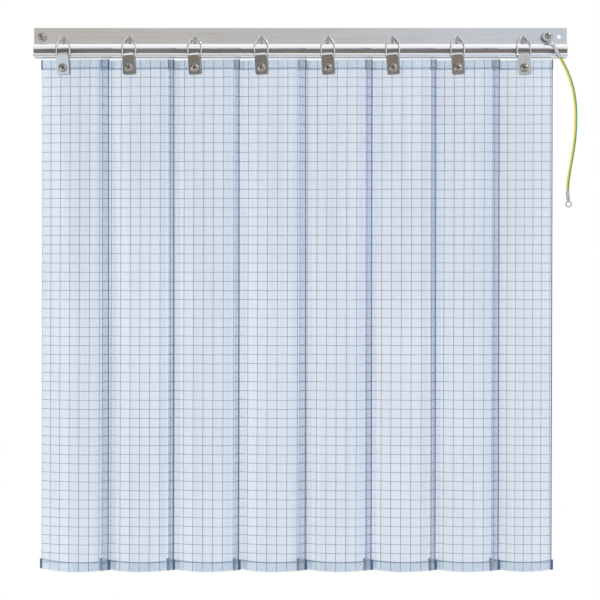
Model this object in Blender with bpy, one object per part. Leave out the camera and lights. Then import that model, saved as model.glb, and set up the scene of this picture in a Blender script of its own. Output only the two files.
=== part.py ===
"""Anti-static strip curtain: a roll-formed hook rail, eight wire hooks, and eight hemmed PVC strips
hung from them in folded straps, with an earth wire at the rail's right end.

Lengths are in metres. +X runs along the rail, +Z is up and -Y faces the viewer. The rail's back
face is the plane y = 0, and z = 0 is the line of its fixing holes. Inside the functions "out" is
the distance forward of the wall, so y = -out."""

import math

import bpy
import bmesh
from mathutils import Matrix, Vector

# Rail: one sheet, folded into a flange, a gutter and a front lip that ends in a rolled bead
RAIL_LENGTH = 0.745
SHEET_T = 0.0015
FLANGE_TOP = 0.0124
RAIL_DROP = 0.0303
LIP_OUT = 0.0135
LIP_H = 0.0069
BEAD_OUT = 0.0116
BEAD_DROP = 0.01475
BEAD_R = 0.00405
FOLD_R = 0.0013
SHELF_R = 0.001
CURL_SHARE = 0.78
CORNER_R = 0.0035
FIXING_INSET = 0.011
EARTH_INSET = 0.028
BOLT_HOLE_R = 0.00275

# Gaps left between pieces that touch, and how far a cutter passes its work
SEAT = 0.0003
CUT_OVER = 0.004

# Hook: one wire, from the gutter over the bead and down to a cross bar
WIRE_R = 0.0012
TONGUE_HALF = 0.0014
TONGUE_CLEAR = 0.0018
LEG_HALF = 0.0093
POINTED_H = 0.016
APEX_R = 0.0022
REST_ANGLE = math.radians(35.0)
LEAVE_ANGLE = math.radians(8.7)
HOOK_CORNER_R = 0.002

# Strap: a plate folded round the cross bar, clamping the strip between its leaves
STRAP_T = 0.0012
STRAP_FOLD_R = 0.003
STRAP_HANG = 0.0007
STRAP_W = 0.0176
STRAP_NECK_W = 0.014
STRAP_NECK_DROP = 0.001
STRAP_SHOULDER_R = 0.0012
STRAP_TOE_R = 0.0022
STRAP_DROP = 0.027
STRAP_TOP_BELOW_FIXING = 0.0237
STRAP_LEAN = math.radians(3.5)

# Screw and nut of the strap
SCREW_R = 0.0025
SCREW_HOLE_R = 0.0028
SCREW_DROP = 0.0177
HEAD_R = 0.006
HEAD_H = 0.0031
head_crown_shares = ((0.97, 0.40), (0.84, 0.72), (0.58, 0.93), (0.28, 1.0))
RECESS_HALF = 0.0024
RECESS_SLOT = 0.0011
RECESS_DEPTH = 0.0017
NUT_R = 0.0045
NUT_H = 0.0032
SHANK_PAST_NUT = 0.0008

# Hangers along the rail: how far in from its ends, and the places between as shares of that span
FIRST_HANGER_INSET = 0.042
LAST_HANGER_INSET = 0.0619
hanger_place_shares = (0.0, 0.143, 0.2854, 0.43, 0.5746, 0.7155, 0.8563, 1.0)

# Strips: a full strip's width as a share of the hangers' span, and how much of that width lies left
# and right of each hanger
strip_width_share = 0.15364
left_shares = (0.304, 0.393, 0.372, 0.373, 0.407, 0.384, 0.375, 0.444)
right_shares = (0.664, 0.645, 0.644, 0.642, 0.630, 0.616, 0.591, 0.404)
STRIP_T = 0.002
STRIP_TOP = -0.0333
STRIP_LENGTH = 0.7125
STRIP_YAW = math.radians(9.0)
STRIP_SLANT = math.radians(0.19)
ARCH_TOP = 0.0018
ARCH_BOTTOM = 0.010
arch_edge_share = 0.1
STRIP_COLUMNS = 8
STRIP_ROWS = 6
SLOPE_STEP = 0.0002
FOOT_BOW = 0.003
FOOT_BOW_FADE = 0.03

# Hems: a sleeve folded over the top edge, and a band welded round the bottom edge
TOP_HEM_H = 0.0138
FOOT_HEM_H = 0.014
HEM_WALL = 0.00105
TOP_HEM_WALL = 0.0013
HEM_GAP = 0.00025
HEM_PAST = 0.0018

# Fixing bolt and earth bolt, with their nuts and washers
BOLT_R = 0.0025
BOLT_NUT_R = 0.0046
BOLT_NUT_H = 0.004
BOLT_HEAD_R = 0.0046
BOLT_HEAD_H = 0.0032
FIXING_WASHER_R = 0.0063
EARTH_WASHER_R = 0.0075
WASHER_T = 0.001
WASHER_HOLE_R = 0.0028

# Earth lugs: a flat eye with a barrel that the wire goes into
LUG_T = 0.001
LUG_EYE_R = 0.0046
LUG_HOLE_R = 0.0028
LUG_NECK_HALF = 0.0016
LUG_NECK = 0.0075
LUG_BARREL_R = 0.0024
LUG_RISE = 0.0018
UPPER_BARREL = 0.0265
LOWER_BARREL = 0.0115
LUG_CLEAR = 0.0007
UPPER_LUG_ANGLE = math.radians(28.8)
LOWER_LUG_ANGLE = math.radians(3.5)

# Earth wire: its radius, and its route below the upper lug as x and z from the barrel's mouth
CORD_R = 0.002
CORD_STEP = 0.009
CORD_ROUTE = (
    (0.0, 0.0), (0.0043, -0.0080), (0.0082, -0.0158), (0.0115, -0.0232), (0.0149, -0.0324),
    (0.0179, -0.0432), (0.0203, -0.0560), (0.0217, -0.0700), (0.0220, -0.0840), (0.0217, -0.0975),
    (0.0208, -0.1110), (0.0193, -0.1240), (0.0173, -0.1365), (0.0152, -0.1480), (0.0133, -0.1590),
    (0.0116, -0.1700), (0.0107, -0.1775), (0.0103, -0.1850),
)

# Values that follow from the ones above
RAIL_END = RAIL_LENGTH / 2
FIXING_X = RAIL_END - FIXING_INSET
EARTH_X = RAIL_END - EARTH_INSET
FIRST_HANGER_X = FIRST_HANGER_INSET - RAIL_END
LAST_HANGER_X = RAIL_END - LAST_HANGER_INSET
STRIP_W = (LAST_HANGER_X - FIRST_HANGER_X) * strip_width_share
BEAD_Z = -BEAD_DROP
GUTTER_MID = (SHEET_T + BEAD_OUT - BEAD_R) / 2
WIRE_ON_BEAD = BEAD_R + SEAT + WIRE_R
BAR_Z = STRAP_HANG - STRAP_TOP_BELOW_FIXING - STRAP_FOLD_R - STRAP_T
LEAVE_OUT = BEAD_OUT + WIRE_ON_BEAD * math.cos(LEAVE_ANGLE)
LEAVE_Z = BEAD_Z + WIRE_ON_BEAD * math.sin(LEAVE_ANGLE)
BAR_OUT = LEAVE_OUT + (LEAVE_Z - BAR_Z) * math.tan(LEAVE_ANGLE)
LEAF_OUT = STRAP_FOLD_R + STRAP_T
LUG_BACK = BEAD_OUT + BEAD_R + LUG_CLEAR + LUG_BARREL_R - LUG_RISE - LUG_T

# Fineness of the faceted shapes
ROUND_SEGMENTS = 14
FINE_SEGMENTS = 20
HEX_SIDES = 6
ARC_STEP = math.radians(30.0)
FOLD_ARC_STEP = math.radians(22.5)
HOOK_ARC_STEP = math.radians(37.0)
SLOPE_PIECES = 4
SHARP_ANGLE = math.radians(38.0)
MERGE = 0.00001
mitre_share = 0.5
ROUTE_SAMPLES = 12


def clear_scene():
    for thing in list(bpy.data.objects):
        bpy.data.objects.remove(thing)


def make_material(name, colour, roughness, metallic, alpha=1.0):
    """A Principled material of one plain colour."""
    made = bpy.data.materials.new(name)
    made.use_nodes = True
    shader = made.node_tree.nodes["Principled BSDF"]
    shader.inputs["Base Color"].default_value = (*colour, 1.0)
    shader.inputs["Roughness"].default_value = roughness
    shader.inputs["Metallic"].default_value = metallic
    shader.inputs["Alpha"].default_value = alpha
    return made


def mesh_from(bm, name, smooth=True):
    """Turn a bmesh into a mesh whose faces point outwards."""
    bmesh.ops.recalc_face_normals(bm, faces=bm.faces)
    mesh = bpy.data.meshes.new(name)
    bm.to_mesh(mesh)
    bm.free()
    if smooth:
        mesh.shade_smooth()
        mesh.set_sharp_from_angle(angle=SHARP_ANGLE)
    return mesh


def place(name, mesh, material, location=(0, 0, 0), rotation=(0, 0, 0), parent=None):
    """Put a named object in the scene."""
    thing = bpy.data.objects.new(name, mesh)
    bpy.context.scene.collection.objects.link(thing)
    thing.location = location
    thing.rotation_euler = rotation
    thing.parent = parent
    if mesh is not None and material is not None and not mesh.materials:
        mesh.materials.append(material)
    return thing


def arc(centre, radius, start, end, step=ARC_STEP):
    """Points of an arc in a plane, both ends included."""
    count = max(1, math.ceil(abs(end - start) / step))
    turns = [start + (end - start) * i / count for i in range(count + 1)]
    return [(centre[0] + radius * math.cos(a), centre[1] + radius * math.sin(a)) for a in turns]


def prism(name, outline, near, far, axis="Y", smooth=False):
    """Extrude a flat outline from near to far along an axis."""
    order = {"X": lambda a, b, d: (d, a, b), "Y": lambda a, b, d: (a, d, b)}[axis]
    bm = bmesh.new()
    corners = [bm.verts.new(order(a, b, near)) for a, b in outline]
    face = bm.faces.new(corners)
    grown = bmesh.ops.extrude_face_region(bm, geom=[face])
    moved = [v for v in grown["geom"] if isinstance(v, bmesh.types.BMVert)]
    bmesh.ops.translate(bm, verts=moved, vec=Vector(order(0, 0, far - near)))
    return mesh_from(bm, name, smooth)


def turned(name, profile, segments=ROUND_SEGMENTS):
    """Spin a profile of (radius, out) points round the Y axis, closed at both ends on the axis."""
    bm = bmesh.new()
    rings = []
    for radius, out in profile:
        if radius == 0:
            rings.append([bm.verts.new((0, -out, 0))])
            continue
        turns = [2 * math.pi * k / segments for k in range(segments)]
        rings.append([bm.verts.new((radius * math.cos(t), -out, radius * math.sin(t))) for t in turns])
    for lower, upper in zip(rings, rings[1:]):
        for k in range(segments):
            after = (k + 1) % segments
            a, b = lower[k % len(lower)], lower[after % len(lower)]
            c, d = upper[after % len(upper)], upper[k % len(upper)]
            bm.faces.new(list(dict.fromkeys((a, b, c, d))))
    return mesh_from(bm, name)


def ring(name, outer_r, hole_r, back, front, segments=ROUND_SEGMENTS, outer_segments=None):
    """A flat ring round the Y axis, such as a washer, or a nut when outer_segments is HEX_SIDES."""
    outer_segments = outer_segments or segments
    outer = [(outer_r * math.cos(2 * math.pi * k / outer_segments),
              outer_r * math.sin(2 * math.pi * k / outer_segments)) for k in range(outer_segments)]
    body = place(name, prism(name, outer, -back, -front, smooth=True), None)
    return baked(body, [("DIFFERENCE", rod(hole_r, back - CUT_OVER, front + CUT_OVER, segments))])


def rod(radius, back, front, segments=ROUND_SEGMENTS, centre=(0, 0)):
    """A plain round bar along Y, used to cut holes."""
    outline = arc(centre, radius, 0, 2 * math.pi, 2 * math.pi / segments)[:-1]
    return prism("cutter", outline, -back, -front)


def baked(body, cuts):
    """Run Boolean cuts on an object, and return the mesh that results. The object is removed."""
    tools = []
    for operation, mesh in cuts:
        tool = place("cutter", mesh, None)
        tool.hide_render = True
        tool.display_type = "WIRE"
        step = body.modifiers.new("cut", "BOOLEAN")
        step.operation = operation
        step.solver = "EXACT"
        step.object = tool
        tools.append(tool)
    graph = bpy.context.evaluated_depsgraph_get()
    mesh = bpy.data.meshes.new_from_object(body.evaluated_get(graph))
    for thing in tools + [body]:
        bpy.data.objects.remove(thing)
    mesh.shade_smooth()
    mesh.set_sharp_from_angle(angle=SHARP_ANGLE)
    return mesh


def offset_outline(path, half):
    """The closed outline of a sheet whose middle line is the path."""
    sides = ([], [])
    for i, point in enumerate(path):
        before = Vector(path[max(i - 1, 0)])
        after = Vector(path[min(i + 1, len(path) - 1)])
        along = (after - before).normalized()
        normal = Vector((-along.y, along.x))
        reach = half
        if 0 < i < len(path) - 1:
            step = (Vector(point) - before).normalized()
            reach = half / max(abs(step.dot(along)), mitre_share)
        for side, sign in zip(sides, (1, -1)):
            side.append(tuple(Vector(point) + sign * reach * normal))
    return sides[0] + sides[1][::-1]


def rail_path():
    """The middle line of the rail's sheet, as (y, z), from the flange's top to the bead's free edge."""
    half = SHEET_T / 2
    back, lip, floor = half, LIP_OUT - half, -RAIL_DROP + half
    neck = BEAD_OUT - BEAD_R + half
    shelf = -RAIL_DROP + LIP_H - half
    path = [(back, FLANGE_TOP)]
    path += arc((back + FOLD_R, floor + FOLD_R), FOLD_R, math.pi, 1.5 * math.pi)
    path += arc((lip - FOLD_R, floor + FOLD_R), FOLD_R, 1.5 * math.pi, 2 * math.pi)
    path += arc((lip - SHELF_R, shelf - SHELF_R), SHELF_R, 0, math.pi / 2)
    path += arc((neck + SHELF_R, shelf + SHELF_R), SHELF_R, 1.5 * math.pi, math.pi)
    path += arc((BEAD_OUT, BEAD_Z), BEAD_R - half, math.pi, math.pi - 2 * math.pi * CURL_SHARE)
    return [(-out, z) for out, z in path]


def build_rail(material):
    body = place("rail", prism("rail", offset_outline(rail_path(), SHEET_T / 2),
                               -RAIL_END, RAIL_END, "X"), None)
    low, top = -RAIL_DROP - CUT_OVER, FLANGE_TOP + CUT_OVER
    beyond, inner = RAIL_END + CUT_OVER, RAIL_END - CORNER_R
    floor = -RAIL_DROP + CORNER_R
    cuts = []
    for side in (-1, 1):
        curve = arc((inner, floor), CORNER_R, 0, -math.pi / 2)
        corner = [(beyond, floor)] + curve + [(inner, low), (beyond, low)]
        corner = [(side * x, z) for x, z in corner]
        cuts.append(("DIFFERENCE", prism("cutter", corner, CUT_OVER, -top - LIP_OUT)))
    for x in (-FIXING_X, FIXING_X, EARTH_X):
        cuts.append(("DIFFERENCE", rod(BOLT_HOLE_R, -CUT_OVER, SHEET_T + CUT_OVER, centre=(x, 0))))
    place("hanging_rail", baked(body, cuts), material)


def hook_half_path():
    """Half of the hook wire as (x, out, z): up the gutter, over the bead, down to the cross bar."""
    top_out = GUTTER_MID + APEX_R
    rest_out = BEAD_OUT + WIRE_ON_BEAD * math.cos(REST_ANGLE)
    rest_z = BEAD_Z + WIRE_ON_BEAD * math.sin(REST_ANGLE)
    bend_end_out = top_out + APEX_R * math.cos(REST_ANGLE)
    bend_end_z = rest_z + (rest_out - bend_end_out) / math.tan(REST_ANGLE)
    top_z = bend_end_z - APEX_R * math.sin(REST_ANGLE)
    bend = arc((top_out, top_z), APEX_R, math.pi, REST_ANGLE, HOOK_ARC_STEP)
    rest = arc((BEAD_OUT, BEAD_Z), WIRE_ON_BEAD, REST_ANGLE, LEAVE_ANGLE)
    slope = [tuple(a + (b - a) * k / SLOPE_PIECES for a, b in zip(bend[-1], rest[0]))
             for k in range(1, SLOPE_PIECES)]
    path = [(TONGUE_HALF, GUTTER_MID, -RAIL_DROP + SHEET_T + TONGUE_CLEAR)]
    for out, z in bend + slope + rest:
        drop = top_z + APEX_R - z if out > top_out else 0
        spread = math.sin(math.pi / 2 * min(drop / POINTED_H, 1))
        path.append((TONGUE_HALF + (LEG_HALF - TONGUE_HALF) * spread, out, z))
    corner = (LEG_HALF - HOOK_CORNER_R, BAR_Z + HOOK_CORNER_R)
    for x, z in arc(corner, HOOK_CORNER_R, 0, -math.pi / 2, HOOK_ARC_STEP):
        path.append((x, LEAVE_OUT + (LEAVE_Z - z) * math.tan(LEAVE_ANGLE), z))
    return path


def build_hook_mesh():
    """The whole wire, centred on the middle of its cross bar."""
    half = hook_half_path()
    whole = half + [(-x, out, z) for x, out, z in half[::-1]]
    points = [(x, -(out - BAR_OUT), z - BAR_Z) for x, out, z in whole]
    return wire_mesh("hook", points, WIRE_R)


def wire_mesh(name, points, radius):
    """A round wire along the points, as a curve with filled caps turned into a mesh."""
    line = bpy.data.curves.new(name, "CURVE")
    line.dimensions = "3D"
    line.bevel_depth = radius
    line.bevel_resolution = 2
    line.use_fill_caps = True
    spline = line.splines.new("POLY")
    spline.points.add(len(points) - 1)
    for knot, point in zip(spline.points, points):
        knot.co = (*point, 1.0)
    holder = bpy.data.objects.new(name, line)
    bpy.context.scene.collection.objects.link(holder)
    graph = bpy.context.evaluated_depsgraph_get()
    mesh = bpy.data.meshes.new_from_object(holder.evaluated_get(graph))
    bpy.data.objects.remove(holder)
    bm = bmesh.new()
    bm.from_mesh(mesh)
    bmesh.ops.remove_doubles(bm, verts=bm.verts, dist=MERGE)
    return mesh_from(bm, name)


def build_strap_mesh():
    """The folded strap, hung on the cross bar: a U section cut to its outline, with a screw hole."""
    outer, inner = STRAP_FOLD_R + STRAP_T, STRAP_FOLD_R
    fold = (0, -STRAP_HANG)
    section = arc(fold, outer, 0, math.pi, FOLD_ARC_STEP) + [(-outer, -STRAP_DROP), (-inner, -STRAP_DROP)]
    section += arc(fold, inner, math.pi, 0, FOLD_ARC_STEP) + [(inner, -STRAP_DROP), (outer, -STRAP_DROP)]
    body = place("strap", prism("strap", section, -STRAP_W / 2, STRAP_W / 2, "X"), None)
    half, neck, toe = STRAP_W / 2, STRAP_NECK_W / 2, STRAP_TOE_R
    right = [(neck, outer + CUT_OVER), (neck, -STRAP_NECK_DROP)]
    right += [(half - STRAP_SHOULDER_R, -STRAP_NECK_DROP)]
    right += arc((half - STRAP_SHOULDER_R, -STRAP_NECK_DROP - STRAP_SHOULDER_R), STRAP_SHOULDER_R,
                 math.pi / 2, 0, ARC_STEP)[1:]
    right += arc((half - toe, -STRAP_DROP + toe), toe, 0, -math.pi / 2)
    outline = right + [(-x, z) for x, z in right[::-1]]
    plate = prism("cutter", outline, -outer - CUT_OVER, outer + CUT_OVER)
    hole = rod(SCREW_HOLE_R, -outer - CUT_OVER, outer + CUT_OVER, centre=(0, -SCREW_DROP))
    return baked(body, [("INTERSECT", plate), ("DIFFERENCE", hole)])


def pan_head(name, radius, height, shank_r, seat, shank_end):
    """A pan-head screw along Y with a cross recess: the head's underside is at seat."""
    crown = [(0, seat + height)]
    for out_share, radius_share in head_crown_shares:
        crown.append((radius * radius_share, seat + height * out_share))
    profile = crown + [(radius, seat), (shank_r, seat), (shank_r, shank_end), (0, shank_end)]
    body = place(name, turned(name, profile), None)
    floor, top = seat + height - RECESS_DEPTH, seat + height + CUT_OVER
    half, slot = RECESS_HALF, RECESS_SLOT / 2
    cross = [(slot, slot), (slot, half), (-slot, half), (-slot, slot), (-half, slot), (-half, -slot),
             (-slot, -slot), (-slot, -half), (slot, -half), (slot, -slot), (half, -slot), (half, slot)]
    return baked(body, [("DIFFERENCE", prism("cutter", cross, -floor, -top))])


def strip_reach(index):
    """How far strip number index goes to the left and to the right of its hanger."""
    return STRIP_W * left_shares[index], STRIP_W * right_shares[index]


def arch_shape(share):
    """How far the strip has curled back, from 0 at its middle to 1 at its edges."""
    return (1 - arch_edge_share) * share ** 2 + arch_edge_share * share ** 6


def sheet_depth(index, u, z):
    """How far behind the clamp's plane strip number index lies, at u across and z in the world."""
    left, right = strip_reach(index)
    middle, half = (right - left) / 2, (right + left) / 2
    down = min(max((STRIP_TOP - z) / STRIP_LENGTH, 0.0), 1.0)
    arch = ARCH_TOP + (ARCH_BOTTOM - ARCH_TOP) * (1 - (1 - down) ** 2)
    arch *= (2 * half / STRIP_W) ** 2
    return arch * (arch_shape((u - middle) / half) - arch_shape(-middle / half))


def foot_rise(index, u, z):
    """How far the curled foot is drawn up at u across, from 0 at the strip's middle."""
    left, right = strip_reach(index)
    share = (2 * u - right + left) / (right + left)
    above = z - STRIP_TOP + STRIP_LENGTH - FOOT_HEM_H
    return FOOT_BOW * share ** 2 * min(max(1 - above / FOOT_BOW_FADE, 0), 1)


def sheet_point(index, u, offset, z):
    """A point at a distance in front of the strip's middle surface, in the strip's own turned axes."""
    near, far = sheet_depth(index, u - SLOPE_STEP, z), sheet_depth(index, u + SLOPE_STEP, z)
    slope = (far - near) / (2 * SLOPE_STEP)
    away = Vector((slope, -1.0)).normalized() * offset
    across = u + away.x - (STRIP_TOP - z) * math.tan(STRIP_SLANT)
    return (across, sheet_depth(index, u, z) + away.y, z + foot_rise(index, u, z) - BAR_Z)


def band(index, section, past):
    """Sweep a closed section of (offset, z) points across the strip. Its ends are left open."""
    left, right = strip_reach(index)
    across = [-left + (left + right) * k / STRIP_COLUMNS for k in range(STRIP_COLUMNS + 1)]
    if past:
        across[0] -= past
        across[-1] += past
    bm = bmesh.new()
    rings = [[bm.verts.new(sheet_point(index, u, offset, z)) for offset, z in section] for u in across]
    for a, b in zip(rings, rings[1:]):
        for k in range(len(section)):
            n = (k + 1) % len(section)
            bm.faces.new((a[k], a[n], b[n], b[k]))
    return bm, rings


def build_strip_mesh(index):
    """One sheet, arched towards the viewer, with its screw hole and the band along its foot."""
    half = STRIP_T / 2
    top = STRIP_TOP - TOP_HEM_WALL - HEM_GAP
    bottom = STRIP_TOP - STRIP_LENGTH + HEM_WALL
    heights = [top + (bottom - top) * k / STRIP_ROWS for k in range(STRIP_ROWS + 1)]
    section = [(half, z) for z in heights] + [(-half, z) for z in heights[::-1]]
    bm, rings = band(index, section, 0)
    count = len(section)
    for verts in (rings[0], rings[-1]):
        for k in range(STRIP_ROWS):
            bm.faces.new((verts[k], verts[k + 1], verts[count - 2 - k], verts[count - 1 - k]))
    body = place("strip", mesh_from(bm, "strip"), None)
    return baked(body, [("UNION", foot_hem_mesh(index)), ("DIFFERENCE", strap_hole_cutter())])


def strap_hole_cutter():
    """The bar that bores the strip and its top hem where the leaning strap has its screw."""
    centre = (SCREW_DROP * math.sin(STRAP_LEAN), -SCREW_DROP * math.cos(STRAP_LEAN))
    return rod(SCREW_HOLE_R, -LEAF_OUT - CUT_OVER, LEAF_OUT + CUT_OVER, centre=centre)


def foot_hem_mesh(index):
    """The band welded round the strip's bottom edge, a little wider than the strip."""
    outer = STRIP_T / 2 + HEM_WALL
    foot = STRIP_TOP - STRIP_LENGTH
    section = [(outer, foot + FOOT_HEM_H), (outer, foot), (-outer, foot), (-outer, foot + FOOT_HEM_H)]
    bm, rings = band(index, section, HEM_PAST)
    for verts in (rings[0], rings[-1]):
        bm.faces.new(verts)
    return mesh_from(bm, "foot_hem")


def build_top_hem_mesh(index):
    """The sleeve folded over the strip's top edge, bored for the screw."""
    inner = STRIP_T / 2 + HEM_GAP
    outer = inner + TOP_HEM_WALL
    low, inside = STRIP_TOP - TOP_HEM_H, STRIP_TOP - TOP_HEM_WALL
    section = [(outer, low), (outer, STRIP_TOP), (-outer, STRIP_TOP), (-outer, low),
               (-inner, low), (-inner, inside), (inner, inside), (inner, low)]
    bm, rings = band(index, section, HEM_PAST)
    for verts in (rings[0], rings[-1]):
        for quad in ((0, 1, 6, 7), (1, 2, 5, 6), (2, 3, 4, 5)):
            bm.faces.new([verts[k] for k in quad])
    body = place("top_hem", mesh_from(bm, "top_hem"), None)
    return baked(body, [("DIFFERENCE", strap_hole_cutter())])


def build_hangers(steel, dark_steel, pvc, hem_pvc):
    """Every hook with its strap, screw, nut, strip and top hem, each on the axis of its cross bar."""
    hook = build_hook_mesh()
    strap = build_strap_mesh()
    screw_end = -LEAF_OUT - SEAT - NUT_H - SHANK_PAST_NUT
    screw = pan_head("screw", HEAD_R, HEAD_H, SCREW_R, LEAF_OUT + SEAT, screw_end)
    nut_front = -LEAF_OUT - SEAT
    nut = ring("nut", NUT_R, SCREW_HOLE_R, nut_front - NUT_H, nut_front, outer_segments=HEX_SIDES)
    tilt = (0, -STRAP_LEAN, -STRIP_YAW)
    turn = (0, 0, -STRIP_YAW)
    low = Matrix.Rotation(-STRIP_YAW, 4, "Z") @ Matrix.Rotation(-STRAP_LEAN, 4, "Y")
    screw_at = low @ Vector((0, 0, -SCREW_DROP))
    for index, share in enumerate(hanger_place_shares):
        number = index + 1
        x = FIRST_HANGER_X + (LAST_HANGER_X - FIRST_HANGER_X) * share
        axis = place(f"bar_axis_{number}", None, None, location=(x, -BAR_OUT, BAR_Z))
        place(f"hook_{number}", hook, steel, parent=axis)
        place(f"strap_{number}", strap, dark_steel, rotation=tilt, parent=axis)
        place(f"clamp_screw_{number}", screw, steel, location=screw_at, rotation=tilt, parent=axis)
        place(f"clamp_nut_{number}", nut, steel, location=screw_at, rotation=tilt, parent=axis)
        place(f"strip_{number}", build_strip_mesh(index), pvc, rotation=turn, parent=axis)
        place(f"top_hem_{number}", build_top_hem_mesh(index), hem_pvc, rotation=turn, parent=axis)


def build_fixing_bolt(steel):
    """The bolt in the left fixing hole, with its nut against the flange."""
    nut_back = SHEET_T + SEAT
    washer_back = nut_back + BOLT_NUT_H + SEAT
    head_back = washer_back + WASHER_T + SEAT
    at = (-FIXING_X, 0, 0)
    place("fixing_bolt", pan_head("bolt", BOLT_HEAD_R, BOLT_HEAD_H, BOLT_R, head_back, 0), steel, at)
    washer = ring("washer", FIXING_WASHER_R, WASHER_HOLE_R, washer_back, washer_back + WASHER_T)
    place("fixing_washer", washer, steel, at)
    nut = ring("nut", BOLT_NUT_R, WASHER_HOLE_R, nut_back, nut_back + BOLT_NUT_H, outer_segments=HEX_SIDES)
    place("fixing_nut", nut, steel, at)


def build_earth_bolt(steel):
    """The earth bolt: a nut on the flange, then nut, washer, lug, washer and head further out."""
    nut_backs = (SHEET_T + SEAT, LUG_BACK - SEAT - WASHER_T - SEAT - BOLT_NUT_H)
    washer_backs = (LUG_BACK - SEAT - WASHER_T, LUG_BACK + LUG_T + SEAT)
    head_back = washer_backs[1] + WASHER_T + SEAT
    at = (EARTH_X, 0, 0)
    place("earth_bolt", pan_head("bolt", BOLT_HEAD_R, BOLT_HEAD_H, BOLT_R, head_back, 0), steel, at)
    for side, back in zip(("back", "front"), nut_backs):
        nut = ring("nut", BOLT_NUT_R, WASHER_HOLE_R, back, back + BOLT_NUT_H, outer_segments=HEX_SIDES)
        place(f"earth_nut_{side}", nut, steel, at)
    for side, back in zip(("back", "front"), washer_backs):
        washer = ring("washer", EARTH_WASHER_R, WASHER_HOLE_R, back, back + WASHER_T, FINE_SEGMENTS)
        place(f"earth_washer_{side}", washer, steel, at)


def lug_mesh(barrel):
    """A ring lug with its eye on the origin and its barrel pointing down, eye back face at y = 0."""
    start = -LUG_NECK
    gap = math.asin(LUG_NECK_HALF / LUG_EYE_R)
    step = 2 * math.pi / FINE_SEGMENTS
    eye = arc((0, 0), LUG_EYE_R, -math.pi / 2 + gap, 1.5 * math.pi - gap, step)
    root = start - LUG_BARREL_R
    outline = eye + [(-LUG_NECK_HALF, root), (LUG_NECK_HALF, root)]
    body = place("lug", prism("lug", outline, 0, -LUG_T), None)
    across = arc((0, 0), LUG_BARREL_R, 0, 2 * math.pi, 2 * math.pi / ROUND_SEGMENTS)[:-1]
    bm = bmesh.new()
    centre = -LUG_T - LUG_RISE
    low = [bm.verts.new((a, centre + b, start - barrel)) for a, b in across]
    face = bm.faces.new(low)
    grown = bmesh.ops.extrude_face_region(bm, geom=[face])
    moved = [v for v in grown["geom"] if isinstance(v, bmesh.types.BMVert)]
    bmesh.ops.translate(bm, verts=moved, vec=Vector((0, 0, barrel)))
    tube = mesh_from(bm, "cutter")
    hole = rod(LUG_HOLE_R, -CUT_OVER, LUG_T + CUT_OVER)
    return baked(body, [("DIFFERENCE", hole), ("UNION", tube)])


def smooth_route(points, step):
    """Points about a step apart on a smooth curve through the route's own points."""
    ends = [tuple(2 * a - b for a, b in zip(points[0], points[1]))]
    tails = [tuple(2 * a - b for a, b in zip(points[-1], points[-2]))]
    line = [Vector(p) for p in ends + list(points) + tails]
    fine = []
    for p0, p1, p2, p3 in zip(line, line[1:], line[2:], line[3:]):
        for k in range(ROUTE_SAMPLES):
            t = k / ROUTE_SAMPLES
            bend = (2 * p0 - 5 * p1 + 4 * p2 - p3) * t ** 2 + (3 * p1 - p0 - 3 * p2 + p3) * t ** 3
            fine.append((2 * p1 + (p2 - p0) * t + bend) / 2)
    fine.append(line[-2])
    total = sum((b - a).length for a, b in zip(fine, fine[1:]))
    count = round(total / step)
    spaced, gone, target = [fine[0]], 0.0, total / count
    for a, b in zip(fine, fine[1:]):
        length = (b - a).length
        while gone + length >= target - MERGE and len(spaced) < count:
            spaced.append(a.lerp(b, (target - gone) / length))
            target += total / count
        gone += length
    return spaced + [fine[-1]], total


def build_earth_wire(steel, earth):
    """The upper lug on the earth bolt, the wire hanging from it, and the lug on the wire's free end."""
    turn = (0, -UPPER_LUG_ANGLE, 0)
    place("earth_lug_upper", lug_mesh(UPPER_BARREL), steel, (EARTH_X, -LUG_BACK, 0), turn)
    reach = LUG_NECK + UPPER_BARREL + SEAT
    out = LUG_BACK + LUG_T + LUG_RISE
    mouth_x = EARTH_X + reach * math.sin(UPPER_LUG_ANGLE)
    mouth_z = -reach * math.cos(UPPER_LUG_ANGLE)
    points, length = smooth_route(CORD_ROUTE, CORD_STEP)
    path = [(mouth_x + p.x, -out, mouth_z + p.y) for p in points]
    place("earth_wire", wire_mesh("wire", path, CORD_R), earth)
    down = Vector((math.sin(LOWER_LUG_ANGLE), 0, -math.cos(LOWER_LUG_ANGLE)))
    eye = Vector(path[-1]) + down * (SEAT + LOWER_BARREL + LUG_NECK)
    at = (eye.x, -out - LUG_T - LUG_RISE, eye.z)
    turn = (0, math.pi + LOWER_LUG_ANGLE, math.pi)
    place("earth_lug_lower", lug_mesh(LOWER_BARREL), steel, at, turn)
    print(f"earth wire length {length:.4f} m")


def build():
    clear_scene()
    rail_steel = make_material("rail_steel", (0.62, 0.62, 0.62), 0.28, 1.0)
    wire_steel = make_material("wire_steel", (0.75, 0.75, 0.76), 0.15, 1.0)
    strap_steel = make_material("strap_steel", (0.55, 0.54, 0.53), 0.22, 1.0)
    pvc = make_material("grid_pvc", (0.72, 0.80, 0.92), 0.2, 0.0, 0.5)
    hem_pvc = make_material("hem_pvc", (0.55, 0.65, 0.80), 0.25, 0.0, 0.7)
    earth = make_material("earth_insulation", (0.16, 0.55, 0.20), 0.45, 0.0)
    build_rail(rail_steel)
    build_fixing_bolt(wire_steel)
    build_earth_bolt(wire_steel)
    build_earth_wire(wire_steel, earth)
    build_hangers(wire_steel, strap_steel, pvc, hem_pvc)


build()
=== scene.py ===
# %% [markdown]
# # An anti-static strip curtain on its hook rail
# This lesson dresses the plain solids of a strip curtain, so that they look like the real thing.
# A folded stainless rail carries eight wire hooks. Each hook carries a folded strap, and each strap
# clamps one clear PVC strip. A green and yellow earth wire hangs at the right end.
# The solids are loaded first, because every detailed piece has to lie where its solid lies.

# %% Load the solids
import math

import bmesh
import bpy
from mathutils import Matrix, Vector


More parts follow.
